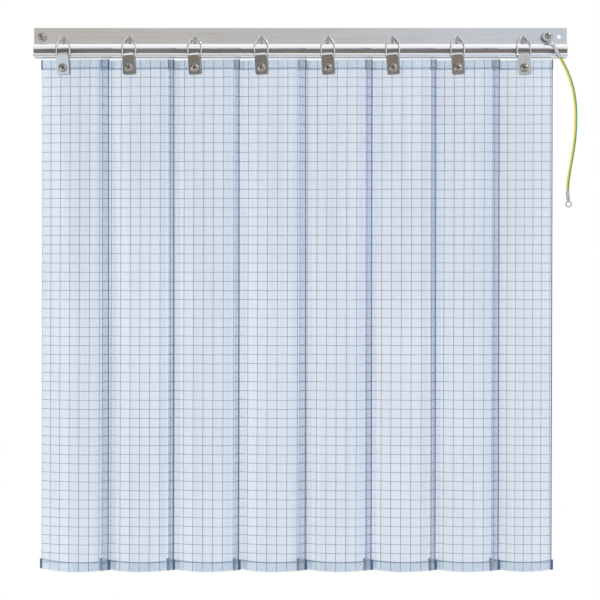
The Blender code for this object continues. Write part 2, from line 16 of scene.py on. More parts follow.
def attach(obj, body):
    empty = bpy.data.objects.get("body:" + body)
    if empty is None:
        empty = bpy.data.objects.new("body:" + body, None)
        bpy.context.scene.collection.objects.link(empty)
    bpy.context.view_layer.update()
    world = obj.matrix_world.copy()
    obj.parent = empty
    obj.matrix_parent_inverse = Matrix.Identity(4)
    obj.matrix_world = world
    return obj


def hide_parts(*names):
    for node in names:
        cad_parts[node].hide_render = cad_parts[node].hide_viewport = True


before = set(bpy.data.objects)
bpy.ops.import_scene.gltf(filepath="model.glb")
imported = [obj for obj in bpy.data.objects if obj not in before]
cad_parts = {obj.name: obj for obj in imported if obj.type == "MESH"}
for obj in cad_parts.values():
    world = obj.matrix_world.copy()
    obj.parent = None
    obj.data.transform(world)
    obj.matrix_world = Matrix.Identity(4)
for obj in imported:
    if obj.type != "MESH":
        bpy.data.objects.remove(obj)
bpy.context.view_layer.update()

# %% [markdown]
# ## The camera
# The picture was taken from straight ahead, about three metres away and level with a point
# 28 cm below the fixing holes. A real photographer would keep the camera level and slide the lens
# down, so that upright edges stay upright. Blender's `shift_y` does the same thing, and tilting
# the camera would make the strips lean in.

# %% Camera
EYE_OUT = 3.0
EYE_Z = -0.2771
VIEW_WIDTH = 0.834
STRIPS_OUT = 0.020
PICTURE = 600
AXIS_RIGHT, AXIS_UP = 0.5, 65.0
SENSOR_MM = 36


def in_scene(name, data):
    """A new object in the scene's own collection."""
    thing = bpy.data.objects.new(name, data)
    bpy.context.scene.collection.objects.link(thing)
    return thing


lens = bpy.data.cameras.new("camera")
lens.sensor_width = SENSOR_MM
lens.lens = SENSOR_MM * (EYE_OUT - STRIPS_OUT) / VIEW_WIDTH
lens.shift_x = -AXIS_RIGHT / PICTURE
lens.shift_y = -AXIS_UP / PICTURE
camera = in_scene("camera", lens)
camera.location = (0, -EYE_OUT, EYE_Z)
camera.rotation_euler = (math.radians(90), 0, 0)
bpy.context.scene.camera = camera
bpy.context.scene.view_settings.view_transform = "Standard"
print("lens:", round(lens.lens, 2), "mm")

# %% [markdown]
# ## Shown pieces and their edges
# Every shown piece rides on the body of its solid, so that it moves with it, and where it stands
# for a solid, that solid is hidden. A real edge is never perfectly sharp, so a small bevel is added last.
# Positions use `out`, the distance forward of the wall, which is -Y.

# %% Pieces and edges
SMOOTH_UNDER = math.radians(32)


def solid_in_scene(bm, name, materials=()):
    """Turn a bmesh into an object, with its faces turned outwards."""
    bmesh.ops.recalc_face_normals(bm, faces=bm.faces)
    mesh = bpy.data.meshes.new(name)
    bm.to_mesh(mesh)
    bm.free()
    for material in materials:
        mesh.materials.append(material)
    return in_scene(name, mesh)


def piece_from(bm, name, materials, body, stands_for=None):
    """Turn a bmesh into a shown piece that rides on a body and may stand for a solid."""
    piece = solid_in_scene(bm, name, materials)
    piece.data.shade_smooth()
    piece.data.set_sharp_from_angle(angle=SMOOTH_UNDER)
    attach(piece, body)
    if stands_for:
        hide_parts(stands_for)
    return piece


def round_edges(piece, width, segments=2, angle=40):
    """Break the sharp edges, because a pressed or cut edge always catches a line of light."""
    bevel = piece.modifiers.new("edges", "BEVEL")
    bevel.width = width
    bevel.segments = segments
    bevel.limit_method = "ANGLE"
    bevel.angle_limit = math.radians(angle)
    bevel.harden_normals = True
    return piece


print("faces that meet under", round(math.degrees(SMOOTH_UNDER)), "degrees are shaded smooth")

# %% [markdown]
# ## Prisms, turned shapes and cuts
# Pressed plate is a flat outline with a thickness, and a screw or a nut is a turned shape. Holes
# are cut with exact Booleans, as a punch or a drill cuts them, which keeps their walls crisp.
# The outlines could be modelled by hand, but then a new size would mean drawing them again.

# %% Prisms, turned shapes and cuts
TURN = 2 * math.pi


def arc(centre, radius, start, end, step=math.radians(9)):
    count = max(1, math.ceil(abs(end - start) / step))
    turns = [start + (end - start) * i / count for i in range(count + 1)]
    return [(centre[0] + radius * math.cos(a), centre[1] + radius * math.sin(a)) for a in turns]


def join(bm, rings):
    """Faces from each ring of points to the next. A ring of one point is a tip."""
    faces = []
    for low, high in zip(rings, rings[1:]):
        sides = max(len(low), len(high))
        for k in range(sides):
            n = (k + 1) % sides
            corners = (low[k % len(low)], low[n % len(low)], high[n % len(high)], high[k % len(high)])
            faces.append(bm.faces.new(list(dict.fromkeys(corners))))
    return faces


def facing_out(a, b, depth):
    """The place of a point of an outline drawn from the front, at a depth forward of the wall."""
    return (a, -depth, b)


def prism(outline, low, high, to_point=facing_out):
    """Close an outline between two depths. to_point turns (a, b, depth) into a place."""
    bm = bmesh.new()
    near = [bm.verts.new(to_point(a, b, low)) for a, b in outline]
    far = [bm.verts.new(to_point(a, b, high)) for a, b in outline]
    bm.faces.new(near)
    bm.faces.new(far[::-1])
    join(bm, [near, far])
    return bm


def drill(centre, radius, low, high):
    """The cutter of a round hole."""
    return prism(arc(centre, radius, 0, TURN)[:-1], low, high)


def turned_ring(bm, radius, out, sides):
    """One ring round the Y axis. The radius may be a function of the share of a turn."""
    shares = [k / sides for k in range(sides if radius else 1)]
    sizes = [radius(share) if callable(radius) else radius for share in shares]
    return [bm.verts.new((r * math.cos(TURN * share), -out, r * math.sin(TURN * share)))
            for r, share in zip(sizes, shares)]


def turned(profile, sides, closed=False):
    """Spin (radius, out) points round the Y axis, and join the last to the first if it's closed."""
    bm = bmesh.new()
    rings = [turned_ring(bm, radius, out, sides) for radius, out in profile]
    join(bm, rings + rings[:1] if closed else rings)
    return bm


def cut(bm, cuts):
    """Run exact Boolean steps on a bmesh, and give back the result as a bmesh."""
    body = solid_in_scene(bm, "work")
    tools = []
    for operation, shape in cuts:
        tool = solid_in_scene(shape, "work")
        step = body.modifiers.new("cut", "BOOLEAN")
        step.operation = operation
        step.solver = "EXACT"
        step.object = tool
        tools.append(tool)
    graph = bpy.context.evaluated_depsgraph_get()
    mesh = bpy.data.meshes.new_from_object(body.evaluated_get(graph))
    for thing in tools + [body]:
        bpy.data.objects.remove(thing)
    result = bmesh.new()
    result.from_mesh(mesh)
    return result


print("a full circle is drawn with", len(arc((0, 0), 1, 0, TURN)) - 1, "sides")

# %% [markdown]
# ## Swept tubes
# Bent wire and insulated wire are both a circle swept along a line. A curve object with a bevel
# would do it too, but a mesh gives the UV that a stripe along the wire needs.

# %% Swept tubes


def smooth_line(points, step):
    """A smooth curve through the points, cut into equal steps."""
    line = [2 * Vector(points[0]) - Vector(points[1])] + [Vector(p) for p in points]
    line.append(2 * Vector(points[-1]) - Vector(points[-2]))
    fine = []
    for p0, p1, p2, p3 in zip(line, line[1:], line[2:], line[3:]):
        for k in range(16):
            t = k / 16
            bend = (2 * p0 - 5 * p1 + 4 * p2 - p3) * t ** 2 + (3 * p1 - p0 - 3 * p2 + p3) * t ** 3
            fine.append((2 * p1 + (p2 - p0) * t + bend) / 2)
    fine.append(line[-2])
    total = sum((b - a).length for a, b in zip(fine, fine[1:]))
    count = round(total / step)
    spaced, gone = [fine[0]], 0.0
    for a, b in zip(fine, fine[1:]):
        length = (b - a).length
        while len(spaced) < count and gone + length >= total * len(spaced) / count:
            spaced.append(a.lerp(b, (total * len(spaced) / count - gone) / length))
        gone += length
    return spaced + [fine[-1]]


def tube(line, radius, sides=16, side_way=Vector((0, -1, 0)), round_ends=False):
    """Sweep a circle along a line. U goes round the tube and V along it, in metres."""
    bm = bmesh.new()
    uv = bm.loops.layers.uv.verify()
    rings, places, gone = [], [], 0.0
    for i, point in enumerate(line):
        along = (line[min(i + 1, len(line) - 1)] - line[max(i - 1, 0)]).normalized()
        side = (side_way - along * side_way.dot(along)).normalized()
        other = along.cross(side)
        side_way = side
        if i:
            gone += (point - line[i - 1]).length
        left = min(gone, sum((b - a).length for a, b in zip(line[i:], line[i + 1:])))
        girth = radius
        if round_ends and left < radius:
            girth = radius * math.sqrt(max(0.02, 1 - (1 - left / radius) ** 2))
        turns = [TURN * k / sides for k in range(sides)]
        rings.append([bm.verts.new(point + girth * (side * math.cos(t) + other * math.sin(t)))
                      for t in turns])
        places.append(gone)
    for number, face in enumerate(join(bm, rings)):
        i, k = divmod(number, sides)
        spots = ((k, i), (k + 1, i), (k + 1, i + 1), (k, i + 1))
        for loop, (turn, place) in zip(face.loops, spots):
            loop[uv].uv = (turn / sides, places[place])
    bm.faces.new(rings[0][::-1])
    bm.faces.new(rings[-1])
    return bm


print("a 1 m line at 3 mm steps has", len(smooth_line([(0, 0, 0), (1, 0, 0)], 0.003)), "points")

# %% [markdown]
# ## Node tools
# A finish is never one flat colour. One small class gives short names to the nodes that are used
# most, and a second one adds a Principled shader, noise that follows the object, and a bump.
# Another way is to paint textures, but noise needs no picture files and stays sharp when close.

# %% Node tools


class Nodes:
    """Short ways to add nodes to one tree."""

    def __init__(self, tree):
        self.tree = tree

    def add(self, kind, sockets=(), **settings):
        """A new node. Each socket is linked to another node's output or set to a value."""
        node = self.tree.nodes.new("ShaderNode" + kind)
        for key, value in settings.items():
            setattr(node, key, value)
        for key, value in dict(sockets).items():
            if isinstance(value, bpy.types.NodeSocket):
                self.tree.links.new(value, node.inputs[key])
            else:
                node.inputs[key].default_value = value
        return node

    def maths(self, operation, first, second=0.0):
        return self.add("Math", {0: first, 1: second}, operation=operation).outputs[0]

    def spread(self, value, low, high, out_low=0.0, out_high=1.0):
        """Map a value from one pair of limits to another."""
        sockets = {"Value": value, "From Min": low, "From Max": high, "To Min": out_low, "To Max": out_high}
        return self.add("MapRange", sockets).outputs["Result"]

    def blend(self, factor, *colours):
        """Mix two colours. Each is another node's output or three numbers."""
        first, second = [c if isinstance(c, bpy.types.NodeSocket) else (*c, 1.0) for c in colours]
        return self.add("Mix", {0: factor, 6: first, 7: second}, data_type="RGBA").outputs[2]


class Finish(Nodes):
    """A material with one Principled shader."""

    def __init__(self, name, colour, roughness, metallic=0.0):
        self.material = bpy.data.materials.new(name)
        self.material.use_nodes = True
        super().__init__(self.material.node_tree)
        self.shader = self.tree.nodes["Principled BSDF"]
        self.set("Base Color", (*colour, 1.0))
        self.set("Roughness", roughness)
        self.set("Metallic", metallic)

    def set(self, socket, value):
        self.shader.inputs[socket].default_value = value

    def plug(self, socket, value):
        self.tree.links.new(value, self.shader.inputs[socket])

    def grain(self, stretch, detail=3.0, roughness=0.55):
        """Noise that follows the object, stretched by three scales."""
        place = self.add("TexCoord").outputs["Object"]
        moved = self.add("Mapping", {"Vector": place, "Scale": stretch}).outputs["Vector"]
        sockets = {"Vector": moved, "Scale": 1.0, "Detail": detail, "Roughness": roughness}
        return self.add("TexNoise", sockets).outputs["Fac"]

    def bump(self, height, strength, distance):
        sockets = {"Height": height, "Strength": strength, "Distance": distance}
        self.plug("Normal", self.add("Bump", sockets).outputs["Normal"])


print("finish tools:", [name for kind in (Nodes, Finish) for name in vars(kind) if not name.startswith("_")])

# %% [markdown]
# ## The steels
# Rolled and drawn metal has a grain along the way it was pulled, and its roughness drifts. The
# flange is plain rolled sheet, and the bead is polished by the rollers that curl it. The groove
# under the bead is rougher, and its dark colour is painted shade for the hollow under the bead.
# The screws are a little duller, and they are painted darker than the plates that they clamp,
# a painted shade and dark reflection on their heads. Six straps are bright pressed plate. The
# first looks blasted and the last looks brushed, so they are rougher, and each keeps one even
# tone that is a painted reflection: light bluish grey on the first and mid grey on the last. One
# function with a few numbers makes all of them, which keeps them in one family.

# %% Steels


def steel(name, bright, dark, smooth, rough, stretch, scuffs=9.0, bump=0.05):
    """Stainless steel: a drawn grain, slow drifts of colour, and a roughness that follows both."""
    made = Finish(name, bright, smooth, 1.0)
    drawn = made.grain(stretch, 4.0)
    drift = made.grain((scuffs, scuffs, scuffs * 2), 5.0, 0.6)
    both = made.maths("ADD", made.maths("MULTIPLY", drawn, 0.6), made.maths("MULTIPLY", drift, 0.4))
    factor = made.spread(both, 0.38, 0.62)
    made.plug("Base Color", made.blend(factor, dark, bright))
    made.plug("Roughness", made.spread(both, 0.35, 0.65, smooth, rough))
    made.bump(drawn, bump, 0.0002)
    return made.material


RAIL_STEEL = steel("rolled_stainless_sheet", (0.93, 0.925, 0.92), (0.85, 0.845, 0.84), 0.10, 0.17,
                   (6, 900, 900), 7.0, 0.02)
BEAD_STEEL = steel("polished_bead_sheet", (0.96, 0.96, 0.965), (0.91, 0.91, 0.92), 0.05, 0.10,
                   (6, 900, 900), 9.0, 0.01)
# Painted shade: the groove's wall is coloured dark for the shade in the hollow under the bead, and it is
# rougher.
GROOVE_SHADE_STEEL = steel("groove_painted_shade_sheet", (0.33, 0.31, 0.29), (0.17, 0.16, 0.15), 0.36, 0.55,
                     (9, 700, 700), 20.0, 0.05)
# Painted reflection: the lip is coloured cooler and bluer than the flange, for the blue strips below it.
LIP_REFLECTION_STEEL = steel("lip_painted_reflection_sheet", (0.91, 0.945, 0.985), (0.83, 0.865, 0.905), 0.12, 0.20,
                  (6, 900, 900), 7.0, 0.02)
WIRE_STEEL = steel("bright_drawn_wire", (0.74, 0.75, 0.77), (0.50, 0.50, 0.51), 0.06, 0.14,
                   (900, 900, 60), 60.0, 0.03)
STRAP_STEEL = steel("pressed_stainless_plate", (0.90, 0.885, 0.87), (0.80, 0.785, 0.77), 0.07, 0.13,
                    (700, 700, 40), 40.0, 0.02)
# Painted reflection: the first and last straps are rougher, and their tones, light bluish grey and mid grey,
# stand for what these two plates mirror.
BLASTED_REFLECTION_STEEL = steel("blasted_painted_reflection_plate", (0.67, 0.725, 0.80), (0.59, 0.64, 0.715), 0.46, 0.60,
                      (900, 900, 900), 60.0, 0.05)
BRUSHED_REFLECTION_STEEL = steel("brushed_painted_reflection_plate", (0.61, 0.60, 0.60), (0.53, 0.525, 0.525), 0.40, 0.55,
                      (900, 900, 40), 60.0, 0.05)
# Painted shade: the heads of the screws and bolts are coloured far darker than steel, for the shade and dark
# reflections on their domes.
SCREW_SHADE_STEEL = steel("painted_shade_screw_steel", (0.42, 0.40, 0.385), (0.20, 0.19, 0.18), 0.08, 0.18,
                    (500, 500, 500), 160.0, 0.05)
FASTENER_STEEL = steel("turned_stainless", (0.74, 0.74, 0.74), (0.60, 0.60, 0.60), 0.14, 0.30,
                       (500, 500, 500), 80.0, 0.05)
LUG_TIN = steel("tinned_copper", (0.66, 0.66, 0.68), (0.42, 0.42, 0.44), 0.14, 0.30,
                (300, 300, 300), 90.0, 0.08)
print("steels:", [m.name for m in bpy.data.materials if m.name.endswith(("sheet", "plate", "steel"))])

# %% [markdown]
# ## The earth wire
# An anti-static curtain is earthed. Its wire is 4 mm over the insulation, green with a yellow
# stripe along it, and crimped into a tinned ring lug at each end. The whole wire is in the picture,
# so the length of its curve, about 190 mm, is its real length. A cord is made before anything else,
# as a tube whose U goes round it, because a stripe that follows the wire needs that coordinate.

# %% Earth wire
EARTH_X = 0.3445
LUG_BACK = 0.01595
LUG_T = 0.001
LUG_RISE = 0.0018
LUG_NECK = 0.0075
UPPER_BARREL = 0.0265
LOWER_BARREL = 0.0115
UPPER_LUG_ANGLE = math.radians(28.8)
LOWER_LUG_ANGLE = math.radians(3.5)
SEAT = 0.0003
CORD_R = 0.002
CORD_STEP = 0.003
CORD_ROUTE = (
    (0.0, 0.0), (0.0043, -0.0080), (0.0082, -0.0158), (0.0115, -0.0232), (0.0149, -0.0324),
    (0.0179, -0.0432), (0.0203, -0.0560), (0.0217, -0.0700), (0.0220, -0.0840), (0.0217, -0.0975),
    (0.0208, -0.1110), (0.0193, -0.1240), (0.0173, -0.1365), (0.0152, -0.1480), (0.0133, -0.1590),
    (0.0116, -0.1700), (0.0107, -0.1775), (0.0103, -0.1850),
)
WIRE_RISE = LUG_T + LUG_RISE
WIRE_OUT = LUG_BACK + WIRE_RISE
mouth_reach = LUG_NECK + UPPER_BARREL + SEAT
mouth = (EARTH_X + mouth_reach * math.sin(UPPER_LUG_ANGLE), -mouth_reach * math.cos(UPPER_LUG_ANGLE))
wire_line = smooth_line([(mouth[0] + x, -WIRE_OUT, mouth[1] + z) for x, z in CORD_ROUTE], CORD_STEP)

EARTH_JACKET = Finish("earth_insulation", (0.03, 0.30, 0.07), 0.38)
round_way = EARTH_JACKET.add("UVMap").outputs["UV"]
parts = EARTH_JACKET.add("SeparateXYZ", {0: round_way}).outputs
wander = EARTH_JACKET.grain((18, 18, 18), 1.0)
turn = EARTH_JACKET.maths("ADD", parts["X"], EARTH_JACKET.spread(wander, 0.3, 0.7, -0.03, 0.03))
from_stripe = EARTH_JACKET.maths("ABSOLUTE", EARTH_JACKET.maths("SUBTRACT", turn, 0.25))
stripe = EARTH_JACKET.spread(from_stripe, 0.228, 0.238, 1.0, 0.0)
flow = EARTH_JACKET.grain((700, 700, 60), 2.0)
green = EARTH_JACKET.blend(flow, (0.018, 0.30, 0.07), (0.035, 0.40, 0.11))
yellow = EARTH_JACKET.blend(flow, (0.94, 0.62, 0.025), (1.0, 0.72, 0.05))
EARTH_JACKET.plug("Base Color", EARTH_JACKET.blend(stripe, green, yellow))
EARTH_JACKET.plug("Roughness", EARTH_JACKET.spread(flow, 0.3, 0.7, 0.30, 0.46))
EARTH_JACKET.bump(flow, 0.1, 0.0002)

earth_wire = piece_from(tube(wire_line, CORD_R, 24), "earth_wire_jacket", [EARTH_JACKET.material], "rail",
                        "earth_wire")

# %% [markdown]
# ## Ring lugs
# A ring lug is a tube of tinned copper whose end is pressed flat and punched. The upper one has a
# long barrel. Each barrel is made as a turned tube with crimp dents, joined to a flat eye.
# The lower lug hangs on the wire.

# %% Ring lugs
LUG_EYE_R = 0.0046
LUG_HOLE_R = 0.0028
LUG_BARREL_R = 0.0024
LUG_BORE_R = 0.00205
LUG_BORE_DEPTH = 0.002
LUG_NECK_HALF = 0.0017
LUG_ROOT_HALF = LUG_BARREL_R * 0.9
LUG_ROOT_H = 0.0012
BARREL_ROWS = 28
BARREL_SIDES = 24
dent_depth_share = 0.16
dent_width_share = 0.05
flat_share = 0.55
SWELL_LENGTH = 0.003
LUG_EDGE = 0.00018
CUT_OVER = 0.002


def lug_barrel(length, dents):
    """The crimped tube: pressed flat where it meets the eye, round at its mouth, and bored there."""
    bm = bmesh.new()
    turns = [TURN * k / BARREL_SIDES for k in range(BARREL_SIDES)]
    rings = []
    for row in range(BARREL_ROWS + 1):
        share = row / BARREL_ROWS
        pinch = sum(math.exp(-((share - d) / dent_width_share) ** 2) for d in dents)
        swell = min(1.0, flat_share + share * length / SWELL_LENGTH)
        sizes = [LUG_BARREL_R * (1 - dent_depth_share * pinch * max(0, -math.sin(t)) ** 3) for t in turns]
        rings.append([bm.verts.new((r * math.cos(t), -WIRE_RISE + r * math.sin(t) * swell,
                                    -LUG_NECK - length * share)) for r, t in zip(sizes, turns)])
    for depth in (0, LUG_BORE_DEPTH):
        rings.append([bm.verts.new((LUG_BORE_R * math.cos(t), -WIRE_RISE + LUG_BORE_R * math.sin(t),
                                    depth - LUG_NECK - length)) for t in turns])
    join(bm, rings)
    bm.faces.new(rings[0])
    bm.faces.new(rings[-1])
    return bm


def ring_lug(length, dents):
    """A ring lug with its eye on the origin and its barrel pointing down, back face at y = 0."""
    start = math.asin(LUG_NECK_HALF / LUG_EYE_R)
    outline = arc((0, 0), LUG_EYE_R, -math.pi / 2 + start, 1.5 * math.pi - start)
    root = -LUG_NECK - LUG_ROOT_H
    outline += [(-LUG_ROOT_HALF, -LUG_NECK), (-LUG_ROOT_HALF, root), (LUG_ROOT_HALF, root),
                (LUG_ROOT_HALF, -LUG_NECK)]
    hole = drill((0, 0), LUG_HOLE_R, -CUT_OVER, LUG_T + CUT_OVER)
    return cut(prism(outline, 0, LUG_T), [("DIFFERENCE", hole), ("UNION", lug_barrel(length, dents))])


print("lug barrels:", UPPER_BARREL, LOWER_BARREL, "m")

# The wire leaves the upper lug and ends in the lower one. Its path is the same line that the tube was
# swept along.

# %% Place the lugs


def lug_piece(name, length, dents, spot, stands_for):
    made = ring_lug(length, dents)
    made.transform(spot)
    return round_edges(piece_from(made, name, [LUG_TIN], "rail", stands_for), LUG_EDGE, 2, 50)


upper_spot = Matrix.Translation((EARTH_X, -LUG_BACK, 0)) @ Matrix.Rotation(-UPPER_LUG_ANGLE, 4, "Y")
lug_piece("ring_lug_upper", UPPER_BARREL, (0.16, 0.36), upper_spot, "earth_lug_upper")
down = Vector((math.sin(LOWER_LUG_ANGLE), 0, -math.cos(LOWER_LUG_ANGLE)))
eye_at = wire_line[-1] + down * (SEAT + LOWER_BARREL + LUG_NECK)
low_spot = (Matrix.Translation((eye_at.x, -WIRE_OUT - WIRE_RISE, eye_at.z))
            @ Matrix.Rotation(math.pi, 4, "Z") @ Matrix.Rotation(math.pi + LOWER_LUG_ANGLE, 4, "Y"))
lower_lug = lug_piece("ring_lug_lower", LOWER_BARREL, (0.35, 0.62), low_spot, "earth_lug_lower")
print("lower eye at", [round(v, 4) for v in eye_at])

# %% [markdown]
# ## The hook rail
# The rail is one 1.5 mm stainless sheet, folded in a press. A flange lies on the wall, the foot
# turns into a gutter, and the front lip ends in a rolled bead that the hooks ride over.
# Only its section matters, so the middle line of the sheet is drawn once, thickened, and pulled
# along X. Round holes are then cut with exact Booleans, and the raw edges are broken.

# %% Hook rail
RAIL_LENGTH = 0.745
RAIL_END = RAIL_LENGTH / 2
SHEET_T = 0.0015
FLANGE_TOP = 0.0124
RAIL_DROP = 0.0303
LIP_OUT = 0.0135
LIP_H = 0.0069
BEAD_OUT = 0.0116
BEAD_Z = -0.01475
BEAD_R = 0.00405
FOLD_R = 0.0013
SHELF_R = 0.001
CURL_SHARE = 0.78
CORNER_R = 0.0035
RAIL_EDGE = 0.0003
FIXING_INSET = 0.011
FIXING_X = RAIL_END - FIXING_INSET
BOLT_HOLE_R = 0.00275


def rail_line():
    """The sheet's middle line as (out, z), from the flange's top to the bead's free edge."""
    half = SHEET_T / 2
    lip, floor = LIP_OUT - half, -RAIL_DROP + half
    neck, shelf = BEAD_OUT - BEAD_R + half, -RAIL_DROP + LIP_H - half
    line = [(half, FLANGE_TOP)]
    line += arc((half + FOLD_R, floor + FOLD_R), FOLD_R, math.pi, 1.5 * math.pi)
    line += arc((lip - FOLD_R, floor + FOLD_R), FOLD_R, 1.5 * math.pi, 2 * math.pi)
    line += arc((lip - SHELF_R, shelf - SHELF_R), SHELF_R, 0, math.pi / 2)
    line += arc((neck + SHELF_R, shelf + SHELF_R), SHELF_R, 1.5 * math.pi, math.pi)
    line += arc((BEAD_OUT, BEAD_Z), BEAD_R - half, math.pi, math.pi - 2 * math.pi * CURL_SHARE)
    return line


def thicken(line, half):
    """Both sides of a line, as one closed outline."""
    sides = ([], [])
    for i, point in enumerate(line):
        along = Vector(line[min(i + 1, len(line) - 1)]) - Vector(line[max(i - 1, 0)])
        normal = Vector((-along.y, along.x)).normalized()
        for side, sign in zip(sides, (1, -1)):
            side.append(tuple(Vector(point) + sign * half * normal))
    return sides[0] + sides[1][::-1]


section_line = rail_line()
flat_width = sum(math.dist(a, b) for a, b in zip(section_line, section_line[1:]))
print("sheet width before folding:", round(flat_width, 4), "m")

# %% [markdown]
# ## Cut the rail
# The lower corners are rounded and three round holes are punched in the flange: two for fixing and
# one for the earth bolt. Faces are then given their finish by where they lie on the section: the
# bead is polished, the upright wall of the groove under it is rougher and painted dark as painted
# shade of the hollow, and the lip is painted a little cooler, as a painted reflection of the blue
# strips below it.

# %% Cut the rail
corner_x, corner_z = RAIL_END - CORNER_R, -RAIL_DROP + CORNER_R
beside, below = RAIL_END + CUT_OVER, -RAIL_DROP - CUT_OVER
corner = [(beside, corner_z)] + arc((corner_x, corner_z), CORNER_R, 0, -math.pi / 2)
corner += [(corner_x, below), (beside, below)]
rail_cuts = [("DIFFERENCE", prism([(side * x, z) for x, z in corner], -CUT_OVER, LIP_OUT + CUT_OVER))
             for side in (-1, 1)]
rail_cuts += [("DIFFERENCE", drill((x, 0), BOLT_HOLE_R, -CUT_OVER, SHEET_T + CUT_OVER))
              for x in (-FIXING_X, FIXING_X, EARTH_X)]
rail = prism(thicken(section_line, SHEET_T / 2), -RAIL_END, RAIL_END, lambda a, b, d: (d, -a, b))
rail_finishes = [RAIL_STEEL, BEAD_STEEL, GROOVE_SHADE_STEEL, LIP_REFLECTION_STEEL]
rail_sheet = piece_from(cut(rail, rail_cuts), "rail_sheet", rail_finishes, "rail",
                        "hanging_rail")
shelf_z = -RAIL_DROP + LIP_H
# Faces in the groove get the painted shade, and faces on the lip get the painted reflection of the strips.
for face in rail_sheet.data.polygons:
    out, z = -face.center.y, face.center.z
    if math.hypot(out - BEAD_OUT, z - BEAD_Z) < BEAD_R + SEAT:
        face.material_index = 1
    elif out > BEAD_OUT - BEAD_R + SHEET_T / 2 and z > shelf_z + SHELF_R / 2:
        face.material_index = 2
    elif out > LIP_OUT - SHEET_T / 2:
        face.material_index = 3
round_edges(rail_sheet, RAIL_EDGE, 2, 45)
print("rail faces:", len(rail_sheet.data.polygons))

# %% [markdown]
# ## Bolts, nuts and washers
# The fixing bolt and the earth bolt are stainless pan heads with a cross recess. They are turned
# shapes, so a short profile of radius and height says everything. The recess is cut by two crossed
# wedges that narrow towards their tip, as a driver's tip does.

# %% Fasteners
BOLT_R = 0.0025
BOLT_NUT_R = 0.0046
BOLT_NUT_H = 0.004
BOLT_HEAD_R = 0.0046
BOLT_HEAD_H = 0.0032
FIXING_WASHER_R = 0.0063
EARTH_WASHER_R = 0.0075
WASHER_T = 0.001
WASHER_HOLE_R = 0.0028
RECESS_HALF = 0.0024
RECESS_SLOT = 0.0011
RECESS_DEPTH = 0.0017
RECESS_OVER = 0.001
THREAD_PITCH = 0.0008
THREAD_DEPTH = 0.00022
THREAD_LENGTH = 0.0048
RINGS_PER_PITCH = 6
HEAD_EDGE = 0.0001
FIXING_HEAD_TURN = 0.5
EARTH_HEAD_TURN = 0.3
tip_share = 0.84
crown_shares = ((1.0, 0.0), (0.99, 0.22), (0.96, 0.42), (0.9, 0.6), (0.81, 0.76), (0.68, 0.88),
                (0.5, 0.965), (0.3, 1.0), (0.06, 1.0), (0.0, 0.97))


def ridge(shank_r, turns_up):
    """The shank's radius round one ring of the thread. It peaks where the ridge passes."""
    return lambda share: shank_r - THREAD_DEPTH * abs(2 * ((turns_up - share) % 1) - 1)


def wedge(floor, top, crossed):
    """One arm of the recess's cutter, which widens from its floor to its top."""
    bm = bmesh.new()
    rings = []
    for depth, grow in ((floor, 0.55), (top, 1.15)):
        long, wide = RECESS_HALF * grow, RECESS_SLOT / 2 * (0.7 + 0.4 * grow)
        ring = [(long, wide), (-long, wide), (-long, -wide), (long, -wide)]
        if crossed:
            ring = [(b, a) for a, b in ring]
        rings.append([bm.verts.new(facing_out(a, b, depth)) for a, b in ring])
        bm.faces.new(rings[-1])
    join(bm, rings)
    return bm


def pan_head(radius, height, shank_r, seat, shank_end):
    """A screw along Y whose head starts at seat, with a tapered cross recess."""
    profile = [(radius * r, seat + height * h) for h, r in crown_shares]
    profile += [(shank_r, seat), (shank_r, shank_end + THREAD_LENGTH + THREAD_PITCH)]
    rings = round(THREAD_LENGTH / THREAD_PITCH * RINGS_PER_PITCH)
    for k in range(1, rings):
        out = shank_end + THREAD_LENGTH * (1 - k / rings)
        profile.append((ridge(shank_r, out / THREAD_PITCH), out))
    profile += [(shank_r * tip_share, shank_end), (0, shank_end)]
    top = seat + height
    arms = [wedge(top - RECESS_DEPTH, top + RECESS_OVER, crossed) for crossed in (False, True)]
    return cut(turned(profile, 36), [("DIFFERENCE", arm) for arm in arms])


print("crown points:", len(crown_shares), "thread turns:", round(THREAD_LENGTH / THREAD_PITCH, 1))

# %% [markdown]
# ## Washers and nuts
# A stamped washer is a ring with a small round on its edges. A hexagon nut is cut from bar and its
# corners are turned off, so the solid is a hexagon met by a cone on both faces.

# %% Washers and nuts
WASHER_EDGE = 0.00018
NUT_EDGE = 0.00008
NUT_SINK = 0.0004
NUT_SINK_OVER = 0.001
NUT_SINK_WIDER = 0.0016


def washer(outer, hole, back, front):
    edge = WASHER_EDGE
    return turned([(hole, back), (outer - edge, back), (outer, back + edge), (outer, front - edge),
                   (outer - edge, front), (hole + edge, front), (hole, front - edge)], 40, True)


def hex_nut(radius, hole, back, front):
    """A hexagon nut: a hexagon met by a cone on both faces, so that its corners are chamfered."""
    body = prism(arc((0, 0), radius, 0, TURN, math.pi / 3)[:-1], back, front)
    slope = radius * 0.14
    cone = turned([(0, front), (radius * 0.9, front), (radius * 1.03, front - slope),
                   (radius * 1.03, back + slope), (radius * 0.9, back), (0, back)], 36)
    mouth_r, before, behind = hole + NUT_SINK_WIDER, front + NUT_SINK_OVER, back - NUT_SINK_OVER
    bore = turned([(0, before), (mouth_r, before), (hole, front - NUT_SINK),
                   (hole, back + NUT_SINK), (mouth_r, behind), (0, behind)], 28)
    return cut(body, [("INTERSECT", cone), ("DIFFERENCE", bore)])


print("nut across corners:", 2 * BOLT_NUT_R, "m, washers:", 2 * FIXING_WASHER_R, 2 * EARTH_WASHER_R, "m")

# %% [markdown]
# ## Bolts on the rail
# The left bolt waits in its fixing hole with a nut and a washer. The earth bolt holds two nuts, two
# washers and the upper lug, in the order in which a fitter would thread them on.

# %% Bolts on the rail


def fastener(shape, name, spot, stands_for, finish=FASTENER_STEEL):
    shape.transform(spot)
    return piece_from(shape, name, [finish], "rail", stands_for)


